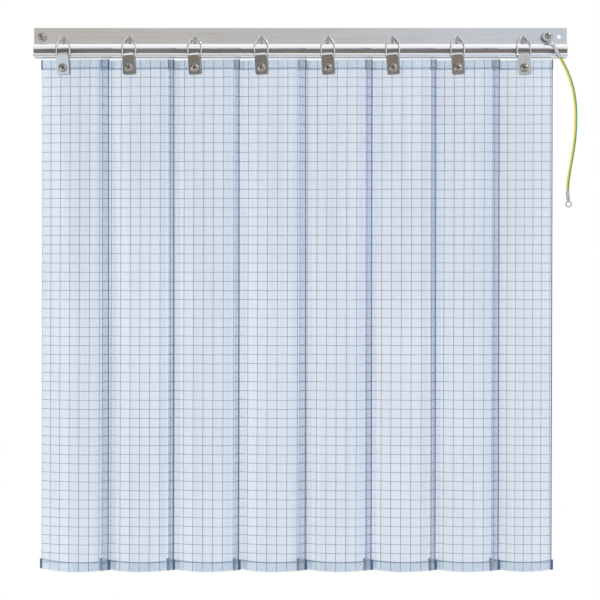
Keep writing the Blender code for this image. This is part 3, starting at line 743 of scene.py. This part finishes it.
def bolt_at(name, hole, turn, seat):
    spot = hole @ Matrix.Rotation(turn, 4, "Y")
    head = pan_head(BOLT_HEAD_R, BOLT_HEAD_H, BOLT_R, seat, 0)
    round_edges(fastener(head, f"{name}_head", spot, name, SCREW_SHADE_STEEL), HEAD_EDGE, 2, 60)


def nut_at(name, hole, back, stands_for):
    nut = hex_nut(BOLT_NUT_R, WASHER_HOLE_R, back, back + BOLT_NUT_H)
    round_edges(fastener(nut, name, hole, stands_for), NUT_EDGE)


def washer_at(name, hole, radius, back, stands_for):
    fastener(washer(radius, WASHER_HOLE_R, back, back + WASHER_T), name, hole, stands_for)


left_hole = Matrix.Translation((-FIXING_X, 0, 0))
fixing_nut_back = SHEET_T + SEAT
fixing_washer_back = fixing_nut_back + BOLT_NUT_H + SEAT
fixing_seat = fixing_washer_back + WASHER_T + SEAT
bolt_at("fixing_bolt", left_hole, FIXING_HEAD_TURN, fixing_seat)
washer_at("fixing_flat_washer", left_hole, FIXING_WASHER_R, fixing_washer_back, "fixing_washer")
nut_at("fixing_hex_nut", left_hole, fixing_nut_back, "fixing_nut")

right_hole = Matrix.Translation((EARTH_X, 0, 0))
washer_backs = (LUG_BACK - SEAT - WASHER_T, LUG_BACK + LUG_T + SEAT)
nut_backs = (SHEET_T + SEAT, washer_backs[0] - SEAT - BOLT_NUT_H)
earth_seat = washer_backs[1] + WASHER_T + SEAT
bolt_at("earth_bolt", right_hole, EARTH_HEAD_TURN, earth_seat)
for side, back in zip(("back", "front"), nut_backs):
    nut_at(f"earth_hex_nut_{side}", right_hole, back, f"earth_nut_{side}")
for side, back in zip(("back", "front"), washer_backs):
    washer_at(f"earth_flat_washer_{side}", right_hole, EARTH_WASHER_R, back, f"earth_washer_{side}")
print("bolt heads at out", round(fixing_seat, 4), round(earth_seat, 4))

# %% [markdown]
# ## Wire hooks
# Each hook is one 2.4 mm wire. It rises from a tongue in the gutter, opens over the bead into a
# pointed arch, and comes down to a cross bar that the strap is folded round. A swept tube on a
# smooth line is the natural way to make bent wire. Round wire has to look round in its highlights,
# so the tube has sixteen sides and domed ends.

# %% Wire hooks
WIRE_R = 0.0012
TONGUE_HALF = 0.0014
TONGUE_CLEAR = 0.0018
LEG_HALF = 0.0093
POINTED_H = 0.016
APEX_R = 0.0022
REST_ANGLE = math.radians(35.0)
LEAVE_ANGLE = math.radians(8.7)
HOOK_CORNER_R = 0.002
STRAP_T = 0.0012
STRAP_FOLD_R = 0.003
STRAP_HANG = 0.0007
STRAP_TOP_BELOW_FIXING = 0.0237
FIRST_HANGER_INSET = 0.042
LAST_HANGER_INSET = 0.0619
HOOK_STEP = 0.0007
GUTTER_MID = (SHEET_T + BEAD_OUT - BEAD_R) / 2
WIRE_ON_BEAD = BEAD_R + SEAT + WIRE_R
BAR_Z = STRAP_HANG - STRAP_TOP_BELOW_FIXING - STRAP_FOLD_R - STRAP_T
LEAVE_OUT = BEAD_OUT + WIRE_ON_BEAD * math.cos(LEAVE_ANGLE)
LEAVE_Z = BEAD_Z + WIRE_ON_BEAD * math.sin(LEAVE_ANGLE)
BAR_OUT = LEAVE_OUT + (LEAVE_Z - BAR_Z) * math.tan(LEAVE_ANGLE)
FIRST_HANGER_X = FIRST_HANGER_INSET - RAIL_END
HANGER_SPAN = RAIL_END - LAST_HANGER_INSET - FIRST_HANGER_X
hanger_place_shares = (0.0, 0.143, 0.2854, 0.43, 0.5746, 0.7155, 0.8563, 1.0)
HANGER_X = [FIRST_HANGER_X + HANGER_SPAN * share for share in hanger_place_shares]


def hook_half():
    """Half of the wire's middle line as (x, out, z) from the hook's own middle."""
    top_out = GUTTER_MID + APEX_R
    rest_out = BEAD_OUT + WIRE_ON_BEAD * math.cos(REST_ANGLE)
    rest_z = BEAD_Z + WIRE_ON_BEAD * math.sin(REST_ANGLE)
    bend_out = top_out + APEX_R * math.cos(REST_ANGLE)
    bend_z = rest_z + (rest_out - bend_out) / math.tan(REST_ANGLE)
    bend = arc((top_out, bend_z - APEX_R * math.sin(REST_ANGLE)), APEX_R, math.pi, REST_ANGLE)
    rest = arc((BEAD_OUT, BEAD_Z), WIRE_ON_BEAD, REST_ANGLE, LEAVE_ANGLE)
    slope = [tuple(a + (b - a) * k / 9 for a, b in zip(bend[-1], rest[0])) for k in range(1, 9)]
    low = -RAIL_DROP + SHEET_T + TONGUE_CLEAR
    line = [(TONGUE_HALF, GUTTER_MID, low + (bend[0][1] - low) * k / 6) for k in range(6)]
    apex = max(z for out, z in bend)
    for out, z in bend + slope + rest:
        drop = apex - z if out > top_out else 0
        opened = math.sin(math.pi / 2 * min(drop / POINTED_H, 1))
        line.append((TONGUE_HALF + (LEG_HALF - TONGUE_HALF) * opened, out, z))
    corner = (LEG_HALF - HOOK_CORNER_R, BAR_Z + HOOK_CORNER_R)
    for x, z in arc(corner, HOOK_CORNER_R, 0, -math.pi / 2, math.radians(15)):
        line.append((x, LEAVE_OUT + (LEAVE_Z - z) * math.tan(LEAVE_ANGLE), z))
    return line


half = hook_half()
heights = [z for x, out, z in half]
print("hook height:", round(max(heights) - min(heights), 4), "m")

# %% [markdown]
# ## Eight hooks
# The half line is mirrored and swept. The hooks stand about 91 mm apart, a little unevenly, as in
# the picture.

# %% Eight hooks
whole = half + [(-x, out, z) for x, out, z in half[::-1]]
for number, x in enumerate(HANGER_X, 1):
    line = smooth_line([(x + a, -out, z) for a, out, z in whole], HOOK_STEP)
    wire = tube(line, WIRE_R, side_way=Vector((1, 0, 0)), round_ends=True)
    piece_from(wire, f"hook_wire_{number}", [WIRE_STEEL], f"hanger_{number}", f"hook_{number}")
print("hooks at x", [round(x, 3) for x in HANGER_X])
print("cross bars at out", round(BAR_OUT, 4), "z", round(BAR_Z, 4))

# %% [markdown]
# ## Straps and their screws
# A strap is a 1.2 mm stainless plate, folded over the hook's cross bar so that two leaves hang down
# with the strip between them. A screw and a nut clamp the leaves. The plate is drawn as its side
# section and then cut to its front outline, the way a press cuts a blank. The screw's thread is a
# real ridge that climbs as it goes round, which is easy when each ring of a turned shape may change
# its radius with the angle.

# %% Straps and screws
STRAP_W = 0.0176
STRAP_NECK_W = 0.014
STRAP_NECK_DROP = 0.001
STRAP_SHOULDER_R = 0.0012
STRAP_TOE_R = 0.0022
STRAP_DROP = 0.027
STRAP_EDGE = 0.00028
STRAP_LEAN = math.radians(3.5)
STRIP_YAW = math.radians(9.0)
SCREW_R = 0.0025
SCREW_HOLE_R = 0.0028
SCREW_DROP = 0.0177
HEAD_R = 0.006
HEAD_H = 0.0031
NUT_R = 0.0045
NUT_H = 0.0032
SHANK_PAST_NUT = 0.0008
LEAF_OUT = STRAP_FOLD_R + STRAP_T


def strap_plate():
    """The folded plate, hung on the cross bar."""
    outer, inner = LEAF_OUT, STRAP_FOLD_R
    fold = (0, -STRAP_HANG)
    section = arc(fold, outer, 0, math.pi) + [(-outer, -STRAP_DROP), (-inner, -STRAP_DROP)]
    section += arc(fold, inner, math.pi, 0) + [(inner, -STRAP_DROP), (outer, -STRAP_DROP)]
    half, neck, toe, past = STRAP_W / 2, STRAP_NECK_W / 2, STRAP_TOE_R, LEAF_OUT + CUT_OVER
    right = [(neck, past), (neck, -STRAP_NECK_DROP)]
    right += arc((half - STRAP_SHOULDER_R, -STRAP_NECK_DROP - STRAP_SHOULDER_R), STRAP_SHOULDER_R,
                 math.pi / 2, 0)
    right += arc((half - toe, -STRAP_DROP + toe), toe, 0, -math.pi / 2)
    blank = prism(right + [(-x, z) for x, z in right[::-1]], -past, past)
    hole = drill((0, -SCREW_DROP), SCREW_HOLE_R, -past, past)
    folded = prism(section, -half, half, lambda a, b, d: (d, a, b))
    return cut(folded, [("INTERSECT", blank), ("DIFFERENCE", hole)])


plate = strap_plate()
print("strap plate faces:", len(plate.faces))

# %% [markdown]
# ## Hang the straps
# All eight straps share one plate, one screw and one nut, and each set is copied to its cross bar.
# The straps turn with their strips. Every screw was driven by hand, so each cross recess stands at
# its own angle.

# %% Hang the straps


def copy_at(shape, name, spot, material, number, stands_for):
    made = shape.copy()
    made.transform(spot)
    return piece_from(made, f"{name}_{number}", [material], f"curtain_{number}",
                      f"{stands_for}_{number}")


screw_end = -LEAF_OUT - SEAT - NUT_H - SHANK_PAST_NUT
clamp_screw = pan_head(HEAD_R, HEAD_H, SCREW_R, LEAF_OUT + SEAT, screw_end)
clamp_nut = hex_nut(NUT_R, SCREW_HOLE_R, -LEAF_OUT - SEAT - NUT_H, -LEAF_OUT - SEAT)
bar_spots = [Matrix.Translation((x, -BAR_OUT, BAR_Z)) for x in HANGER_X]
screw_turn_degrees = (12, 78, 31, 55, 8, 64, 22, 41)
lean = Matrix.Rotation(-STRIP_YAW, 4, "Z") @ Matrix.Rotation(-STRAP_LEAN, 4, "Y")
for number, spot in enumerate(bar_spots, 1):
    screw_at = spot @ lean @ Matrix.Translation((0, 0, -SCREW_DROP))
    driven = Matrix.Rotation(math.radians(screw_turn_degrees[number - 1]), 4, "Y")
    # The first and last plates carry painted reflections in their colour, and the others mirror the studio.
    finish = {1: BLASTED_REFLECTION_STEEL, 8: BRUSHED_REFLECTION_STEEL}.get(number, STRAP_STEEL)
    strap = copy_at(plate, "strap_plate", spot @ lean, finish, number, "strap")
    round_edges(strap, STRAP_EDGE, 3, 45)
    head = copy_at(clamp_screw, "strap_screw", screw_at @ driven, SCREW_SHADE_STEEL, number,
                   "clamp_screw")
    round_edges(head, HEAD_EDGE, 2, 60)
    copy_at(clamp_nut, "strap_hex_nut", screw_at @ driven, FASTENER_STEEL, number,
            "clamp_nut")
print("straps:", len(bar_spots), "screw faces:", len(clamp_screw.faces))

# %% [markdown]
# ## Clear PVC
# The strips are soft clear PVC with a blue tint. Clear PVC is glass-like, so it's made with
# transmission, and its tint is the colour that one sheet lets through. The cut edges look dark
# blue, because there one looks along the sheet and through much more plastic. Volume absorption
# would give that by itself, but it's slow and noisy in a sheet of 2 mm.

# %% Clear PVC


def clear_pvc(name, tint, through=0.9, rough=0.07, ripple=0.10):
    """Clear soft PVC. Its faint upright lines come from the extruder's die."""
    made = Finish(name, tint, rough)
    made.set("IOR", 1.53)
    made.set("Transmission Weight", through)
    lines = made.grain((160, 160, 3), 2.0)
    drift = made.grain((9, 9, 4), 2.0)
    deep = tuple(c * 0.96 for c in tint)
    made.flow = made.blend(made.spread(drift, 0.35, 0.65), deep, tint)
    made.plug("Base Color", made.flow)
    made.plug("Roughness", made.spread(lines, 0.3, 0.7, rough * 0.7, rough * 1.6))
    made.bump(lines, ripple, 0.0004)
    return made


SHEET_PVC = clear_pvc("clear_tinted_pvc", (0.765, 0.825, 0.92))
EDGE_PVC = clear_pvc("cut_pvc_edge", (0.11, 0.21, 0.38), 0.5, 0.16, 0.2)
HEM_PVC = clear_pvc("welded_pvc_hem", (0.93, 0.975, 1.0), 1.0, 0.05, 0.08)
WELD_PVC = clear_pvc("weld_seam_pvc", (0.42, 0.52, 0.68), 0.8, 0.16, 0.3)
GRID_PVC = clear_pvc("grid_printed_pvc", (0.765, 0.825, 0.92))
print("clear finishes:", [m.name for m in bpy.data.materials if "pvc" in m.name])

# %% [markdown]
# ## The printed grid
# Anti-static PVC has a grid of conductive ink printed on one face. A line is drawn wherever the
# distance to the nearest whole number is small, in a UV that counts squares. It could be a
# picture, but computed lines stay sharp. The ink covers the plastic, so it lets less light
# through. A second UV measures from the right edge, and on each strip that lies on the next one a
# soft bluer band is painted there, a painted reflection of the curved sheet near its edge. Faint
# bluer streaks are painted down the sheet as well, painted reflections of its gentle waves.

# %% Printed grid
LINE_HALF = 0.021
LINE_SOFT = 0.012
PAINTED_REFLECTION_BLUE = (0.61, 0.72, 0.87)
INK_GREY = (0.16, 0.19, 0.25)


def uv_parts(name):
    return GRID_PVC.add("SeparateXYZ", {0: GRID_PVC.add("UVMap", uv_map=name).outputs["UV"]}).outputs


# Painted reflection: a bluer band near the right edge of each strip that lies on the next one, and bluer
# streaks down every sheet.
from_edge = uv_parts("from_edge")
near = GRID_PVC.spread(from_edge["X"], 0.0085, 0.0115)
far = GRID_PVC.spread(from_edge["X"], 0.0165, 0.0205, 1.0, 0.0)
band = GRID_PVC.maths("MULTIPLY", GRID_PVC.maths("MULTIPLY", near, far), from_edge["Y"])
streaks = GRID_PVC.spread(GRID_PVC.grain((110, 110, 1.5), 2.0), 0.46, 0.66, 0.0, 0.6)
shade = GRID_PVC.maths("MAXIMUM", band, streaks)
GRID_PVC.flow = GRID_PVC.blend(shade, GRID_PVC.flow, PAINTED_REFLECTION_BLUE)
cell = uv_parts("grid")
worn = GRID_PVC.grain((300, 300, 300), 2.0)
reach = GRID_PVC.spread(worn, 0.3, 0.7, LINE_HALF * 0.85, LINE_HALF * 1.15)
soft = GRID_PVC.maths("ADD", reach, LINE_SOFT)
lines = []
for axis in ("X", "Y"):
    away = GRID_PVC.maths("PINGPONG", GRID_PVC.maths("ADD", cell[axis], 100.0), 0.5)
    lines.append(GRID_PVC.spread(away, reach, soft, 1.0, 0.0))
ink = GRID_PVC.maths("MAXIMUM", *lines)
GRID_PVC.plug("Base Color", GRID_PVC.blend(ink, GRID_PVC.flow, INK_GREY))
GRID_PVC.plug("Transmission Weight", GRID_PVC.spread(ink, 0.0, 1.0, 0.9, 0.35))
GRID_PVC.plug("Roughness", GRID_PVC.spread(ink, 0.0, 1.0, 0.07, 0.45))
print("grid nodes:", len(GRID_PVC.tree.nodes))

# %% [markdown]
# ## The shape of a strip
# Each strip is turned 9 degrees, so that its right edge passes in front of the next strip, and it
# arches towards the viewer, a little at the top and more at the foot, because PVC comes off a roll
# and keeps some of the curl. The foot is drawn up a little at both edges. One formula gives the
# depth anywhere on the sheet, so that the strip and its two hems follow the same surface.

# %% Strip shape
strip_w_share = 0.15364
STRIP_W = HANGER_SPAN * strip_w_share
left_shares = (0.304, 0.393, 0.372, 0.373, 0.407, 0.384, 0.375, 0.444)
right_shares = (0.664, 0.645, 0.644, 0.642, 0.630, 0.616, 0.591, 0.404)
STRIP_T = 0.002
STRIP_TOP = -0.0333
STRIP_LENGTH = 0.7125
STRIP_SLANT = math.radians(0.19)
ARCH_TOP = 0.0018
ARCH_BOTTOM = 0.010
arch_edge_share = 0.1
SLOPE_STEP = 0.0002
FOOT_BOW = 0.003
FOOT_BOW_FADE = 0.03
TOP_HEM_H = 0.0138
FOOT_HEM_H = 0.014
HEM_WALL = 0.00105
TOP_HEM_WALL = 0.0013
HEM_GAP = 0.00025
HEM_PAST = 0.0018
RIGHT_MARGIN = 0.0011
LEFT_MARGIN = 0.0005
GRID_PITCH = 0.01386
NARROW_PITCH = 0.01178
ROW_PITCH = 0.01301
ROW_GAIN = 0.0328
FIRST_ROW_Z = -0.0452
first_line_mm = (-16.4, -24.2, -13.8, -17.5, -14.2, -14.5, -18.0, -22.2)
pitches = (GRID_PITCH,) * 7 + (NARROW_PITCH,)
sheet_spots = [spot @ Matrix.Rotation(-STRIP_YAW, 4, "Z") for spot in bar_spots]


def reach_of(index):
    return STRIP_W * left_shares[index], STRIP_W * right_shares[index]


def arch_shape(share):
    return (1 - arch_edge_share) * share ** 2 + arch_edge_share * share ** 6


def sheet_depth(index, u, z):
    left, right = reach_of(index)
    middle, half = (right - left) / 2, (right + left) / 2
    down = min(max((STRIP_TOP - z) / STRIP_LENGTH, 0.0), 1.0)
    arch = ARCH_TOP + (ARCH_BOTTOM - ARCH_TOP) * (1 - (1 - down) ** 2)
    arch *= (2 * half / STRIP_W) ** 2
    return arch * (arch_shape((u - middle) / half) - arch_shape(-middle / half))


def foot_rise(index, u, z):
    """How far the curled foot is drawn up at u across, from 0 at the strip's middle."""
    left, right = reach_of(index)
    share = (2 * u - right + left) / (right + left)
    above = z - STRIP_TOP + STRIP_LENGTH - FOOT_HEM_H
    return FOOT_BOW * share ** 2 * min(max(1 - above / FOOT_BOW_FADE, 0), 1)


def sheet_point(index, u, offset, z):
    near, far = sheet_depth(index, u - SLOPE_STEP, z), sheet_depth(index, u + SLOPE_STEP, z)
    away = Vector(((far - near) / (2 * SLOPE_STEP), -1.0)).normalized() * offset
    across = u + away.x - (STRIP_TOP - z) * math.tan(STRIP_SLANT)
    return (across, sheet_depth(index, u, z) + away.y, z + foot_rise(index, u, z) - BAR_Z)


print("strip widths:", [round(sum(reach_of(i)) * 1000, 1) for i in range(len(HANGER_X))], "mm")

# %% [markdown]
# ## Sweep a section across
# The strip and the hems are closed sections that are swept from the left edge to the right. The
# screw's hole is bored through whatever lies under the strap.

# %% Sweep and bore


def columns(index, past, count=26):
    """Places across a strip, with the narrow margins of its two cut edges at the ends."""
    left, right = reach_of(index)
    low, high = -left + LEFT_MARGIN, right - RIGHT_MARGIN
    inner = [low + (high - low) * k / count for k in range(count + 1)]
    return [-left - past] + ([-left] if past else []) + inner + ([right] if past else []) + [right + past]


def sweep(index, section, across):
    """Sweep a closed section of (offset, z) points across the strip. Its two ends stay open."""
    made = bmesh.new()
    rings = [[made.verts.new(sheet_point(index, u, offset, z)) for offset, z in section] for u in across]
    return made, rings, join(made, rings)


def bore(shape):
    """The hole for the strap's screw."""
    centre = (SCREW_DROP * math.sin(STRAP_LEAN), -SCREW_DROP * math.cos(STRAP_LEAN))
    past = LEAF_OUT + CUT_OVER
    return cut(shape, [("DIFFERENCE", drill(centre, SCREW_HOLE_R, -past, past))])


print("columns in a strip:", len(columns(0, 0)))

# %% [markdown]
# ## Eight strips
# A strip is a closed 2 mm sheet. Its front carries the print, its back is plain, and its edges have
# the dark finish. Each strip was cut from the roll at another place, so its first printed line lies
# elsewhere. The last strip is narrower, and its squares are too.

# %% Eight strips
STRIP_ROWS = 48


def on_grid(index, u, z):
    """Where a point lies on the printed grid, counted in squares, which are a little flatter lower down."""
    down = FIRST_ROW_Z - z - foot_rise(index, u, z)
    across = u - first_line_mm[index] / 1000
    return (across / pitches[index], down / ROW_PITCH * (1 + ROW_GAIN * down))


def strip_mesh(index):
    """The sheet. Material 0 is the printed front, 1 the plain back, 2 the cut edges."""
    half, rows = STRIP_T / 2, STRIP_ROWS
    top = STRIP_TOP - TOP_HEM_WALL - HEM_GAP
    bottom = STRIP_TOP - STRIP_LENGTH + HEM_WALL + HEM_GAP
    heights = [top + (bottom - top) * k / rows for k in range(rows + 1)]
    section = [(half, z) for z in heights] + [(-half, z) for z in heights[::-1]]
    across = columns(index, 0)
    made, rings, faces = sweep(index, section, across)
    grid_uv, edge_uv = (made.loops.layers.uv.new(name) for name in ("grid", "from_edge"))
    left, right = reach_of(index)
    lies_on_next = index + 1 < len(HANGER_X)
    place = {v: (on_grid(index, u, z), (right - u, lies_on_next)) for u, ring in zip(across, rings)
             for v, (offset, z) in zip(ring, section)}
    count = len(section)
    for number, face in enumerate(faces):
        column, k = divmod(number, count)
        margin = column == len(across) - 2
        face.material_index = 2 if margin or k in (rows, count - 1) else int(k > rows)
    for verts in (rings[0], rings[-1]):
        for k in range(rows):
            cap = made.faces.new((verts[k], verts[k + 1], verts[count - 2 - k], verts[count - 1 - k]))
            cap.material_index = 2
    for face in made.faces:
        for loop in face.loops:
            loop[grid_uv].uv, loop[edge_uv].uv = place[loop.vert]
    return bore(made)


strip_finishes = [GRID_PVC.material, SHEET_PVC.material, EDGE_PVC.material]
for number, spot in enumerate(sheet_spots, 1):
    shape = strip_mesh(number - 1)
    shape.transform(spot)
    piece_from(shape, f"pvc_strip_{number}", strip_finishes, f"curtain_{number}",
                             f"strip_{number}")

# %% [markdown]
# ## Hems
# Each strip is folded into a sleeve over its top edge, where the strap holds it, and a band is
# welded round its foot, so that the edge doesn't curl. The foot band stands 1.8 mm past the strip
# and the sleeve 0.5 mm. A weld leaves a darker, slightly rough line along the band's free edge,
# and the band's ends look dark blue for the same reason as the cut edges. They are swept like the
# strips, with a U section.

# %% Hems
WELD_H = 0.001
WELD_RISE = 0.00015
WELD_SLOPE_H = 0.0004
TOP_HEM_PAST = 0.0005
FOOT_HEM_GAP = 0.0001


def hem_mesh(index, free_z, fold_z, inner, wall, past):
    """A sleeve that is open at free_z and folded at fold_z. Material 1 is the weld, 2 the ends."""
    outer = inner + wall
    up = 1 if fold_z > free_z else -1
    inside, weld = fold_z - up * wall, free_z + up * WELD_H
    round_r = outer * 0.8
    bend = [(outer - round_r + round_r * math.cos(a), fold_z - up * round_r * (1 - math.sin(a)))
            for a in (0, 0.4, 0.8, 1.2, math.pi / 2)]
    crest, slope = outer + WELD_RISE, up * WELD_SLOPE_H
    front = [(outer, free_z), (crest, free_z + slope), (crest, weld - slope), (outer, weld)] + bend
    section = front + [(-offset, z) for offset, z in front[::-1]]
    section += [(-inner, free_z), (-inner, weld), (-inner, inside), (inner, inside), (inner, weld),
                (inner, free_z)]
    made, rings, faces = sweep(index, section, columns(index, past))
    count, size = len(section), len(front)
    weld_rows = (0, 1, 2, 2 * size - 4, 2 * size - 3, 2 * size - 2, 2 * size - 1, count - 1)
    last = len(rings) - 2
    for number, face in enumerate(faces):
        column, k = divmod(number, count)
        face.material_index = 2 if column in (0, 1, last - 1, last) else int(k in weld_rows)
    for verts in (rings[0], rings[-1]):
        cap = made.faces.new(verts)
        cap.material_index = 2
    return made


hem_finishes = [HEM_PVC.material, WELD_PVC.material, EDGE_PVC.material]
foot, half = STRIP_TOP - STRIP_LENGTH, STRIP_T / 2
for index, spot in enumerate(sheet_spots):
    number = index + 1
    low = hem_mesh(index, foot + FOOT_HEM_H, foot, half + FOOT_HEM_GAP, HEM_WALL - FOOT_HEM_GAP, HEM_PAST)
    top = hem_mesh(index, STRIP_TOP - TOP_HEM_H, STRIP_TOP, half + HEM_GAP, TOP_HEM_WALL, TOP_HEM_PAST)
    top = bore(top)
    for shape in (low, top):
        shape.transform(spot)
    foot_hem = piece_from(low, f"foot_hem_band_{number}", hem_finishes, f"curtain_{number}")
    top_hem = piece_from(top, f"top_hem_sleeve_{number}", hem_finishes, f"curtain_{number}",
                         f"top_hem_{number}")
print("hems:", 2 * len(sheet_spots))

# %% [markdown]
# ## The floor
# The curtain hangs on a wall, well above the floor, so the floor is out of the picture and only
# shows in other views. It is a thin slab of pale paint with a faint speckle.

# %% Floor
FLOOR_Z = -1.2
FLOOR_T = 0.02
floor_paint = Finish("pale_floor_paint", (0.80, 0.80, 0.79), 0.6)
speckle = floor_paint.grain((60, 60, 60), 4.0)
floor_paint.plug("Base Color", floor_paint.blend(speckle, (0.77, 0.77, 0.76), (0.83, 0.83, 0.82)))
floor_paint.plug("Roughness", floor_paint.spread(speckle, 0.3, 0.7, 0.5, 0.7))
floor_paint.bump(speckle, 0.05, 0.001)
slab = prism([(-1.3, -0.6), (1.3, -0.6), (1.3, 1.3), (-1.3, 1.3)], FLOOR_Z - FLOOR_T, FLOOR_Z,
             lambda a, b, d: (a, -b, d))
solid_in_scene(slab, "floor", [floor_paint.material])
print("floor at z", FLOOR_Z)

# %% [markdown]
# ## The background and what the metal mirrors
# The background is white because a ray from the camera, or one that passed through the clear
# strips, sees a white world. Metal needs something to mirror, so glossy rays see a studio. A
# mid-grey band stands level with the eye and gives the flange its plain tone. It is bright above
# and below the band, which draws the white line along the bead. The straps are turned, so they
# mirror a tall dark panel to the left. Dark sides draw the thin outlines of the bent wires, and
# behind the rail it's an even grey.
# Real panels would do the same, but they would also light the object and show through the strips.

# %% World
WHITE = (1.0, 1.0, 1.0)
DARK = (0.07, 0.07, 0.07)
BEHIND = (0.3, 0.3, 0.3)
STRAP_PANEL = (0.21, 0.19, 0.175)
BAND_TOP = 0.14
STRAP_PANEL_TOP = 0.78

world = bpy.data.worlds.new("studio")
bpy.context.scene.world = world
world.use_nodes = True
studio = Nodes(world.node_tree)
way = studio.add("SeparateXYZ", {0: studio.add("TexCoord").outputs["Generated"]}).outputs
turn = studio.maths("ARCTAN2", way["X"], studio.maths("MULTIPLY", way["Y"], -1.0))
panels = studio.add("ValToRGB", {0: studio.spread(turn, -math.pi, math.pi)})
panel_degrees = ((-180, BEHIND), (-150, DARK), (-60, (0.08, 0.075, 0.07)), (-45, WHITE), (-28, WHITE),
                 (-25, STRAP_PANEL), (-13, STRAP_PANEL), (-11, (0.52, 0.49, 0.46)),
                 (-6, (0.51, 0.48, 0.45)), (0, (0.52, 0.51, 0.51)), (7, (0.56, 0.62, 0.69)),
                 (16, (0.60, 0.66, 0.73)), (26, WHITE), (45, WHITE), (60, (0.07, 0.075, 0.08)),
                 (150, DARK), (180, BEHIND))
ramp = panels.color_ramp
for degrees, level in panel_degrees:
    share = (degrees + 180) / 360
    stop = ramp.elements[int(share)] if share in (0, 1) else ramp.elements.new(share)
    stop.color = (*level, 1)
tall = studio.spread(turn, math.radians(-11), math.radians(-13))
top = studio.spread(tall, 0.0, 1.0, BAND_TOP, STRAP_PANEL_TOP)
high = studio.spread(studio.maths("SUBTRACT", way["Z"], top), 0.0, 0.10)
room = studio.blend(high, panels.outputs["Color"], (1.08, 1.08, 1.08))
room = studio.blend(studio.spread(way["Z"], 0.02, -0.06), room, (0.93, 0.95, 0.98))
room = studio.blend(studio.spread(way["Y"], 0.1, 0.4), room, (0.42, 0.42, 0.43))
path = studio.add("LightPath").outputs
plain = studio.blend(path["Is Glossy Ray"], (0.74, 0.74, 0.75), room)
clear = studio.maths("MAXIMUM", path["Is Camera Ray"], path["Is Transmission Ray"])
seen = studio.blend(clear, plain, WHITE)
background = studio.tree.nodes["Background"]
studio.tree.links.new(seen, background.inputs["Color"])
background.inputs["Strength"].default_value = 1.0
print("world nodes:", len(studio.tree.nodes))

# %% [markdown]
# ## The lights
# Light that falls on the object stays at a plain level, so that a colour looks about as written.
# A small lamp from the upper right gives the crisp side, and two wide ones fill in, a little warm
# from the left and cool from the right, low enough to light the strips evenly.

# %% Lights


def lamp(name, place, aim, size, watts, colour):
    light = bpy.data.lights.new(name, "AREA")
    light.shape = "DISK"
    light.size = size
    light.energy = watts
    light.color = colour
    thing = in_scene(name, light)
    thing.location = place
    thing.rotation_euler = (Vector(aim) - Vector(place)).to_track_quat("-Z", "Y").to_euler()


lamp("key_upper_right", (1.1, -2.0, 1.3), (0, 0, -0.2), 0.30, 10.0, (0.98, 0.99, 1.0))
lamp("soft_left", (-2.4, -1.5, -0.6), (0, 0, -0.45), 2.6, 10.0, (1.0, 0.96, 0.91))
lamp("soft_right", (2.4, -1.5, -0.6), (0, 0, -0.45), 2.6, 9.0, (0.92, 0.96, 1.0))

# %% [markdown]
# ## The size
# The dressed curtain has to keep the size of its solids.
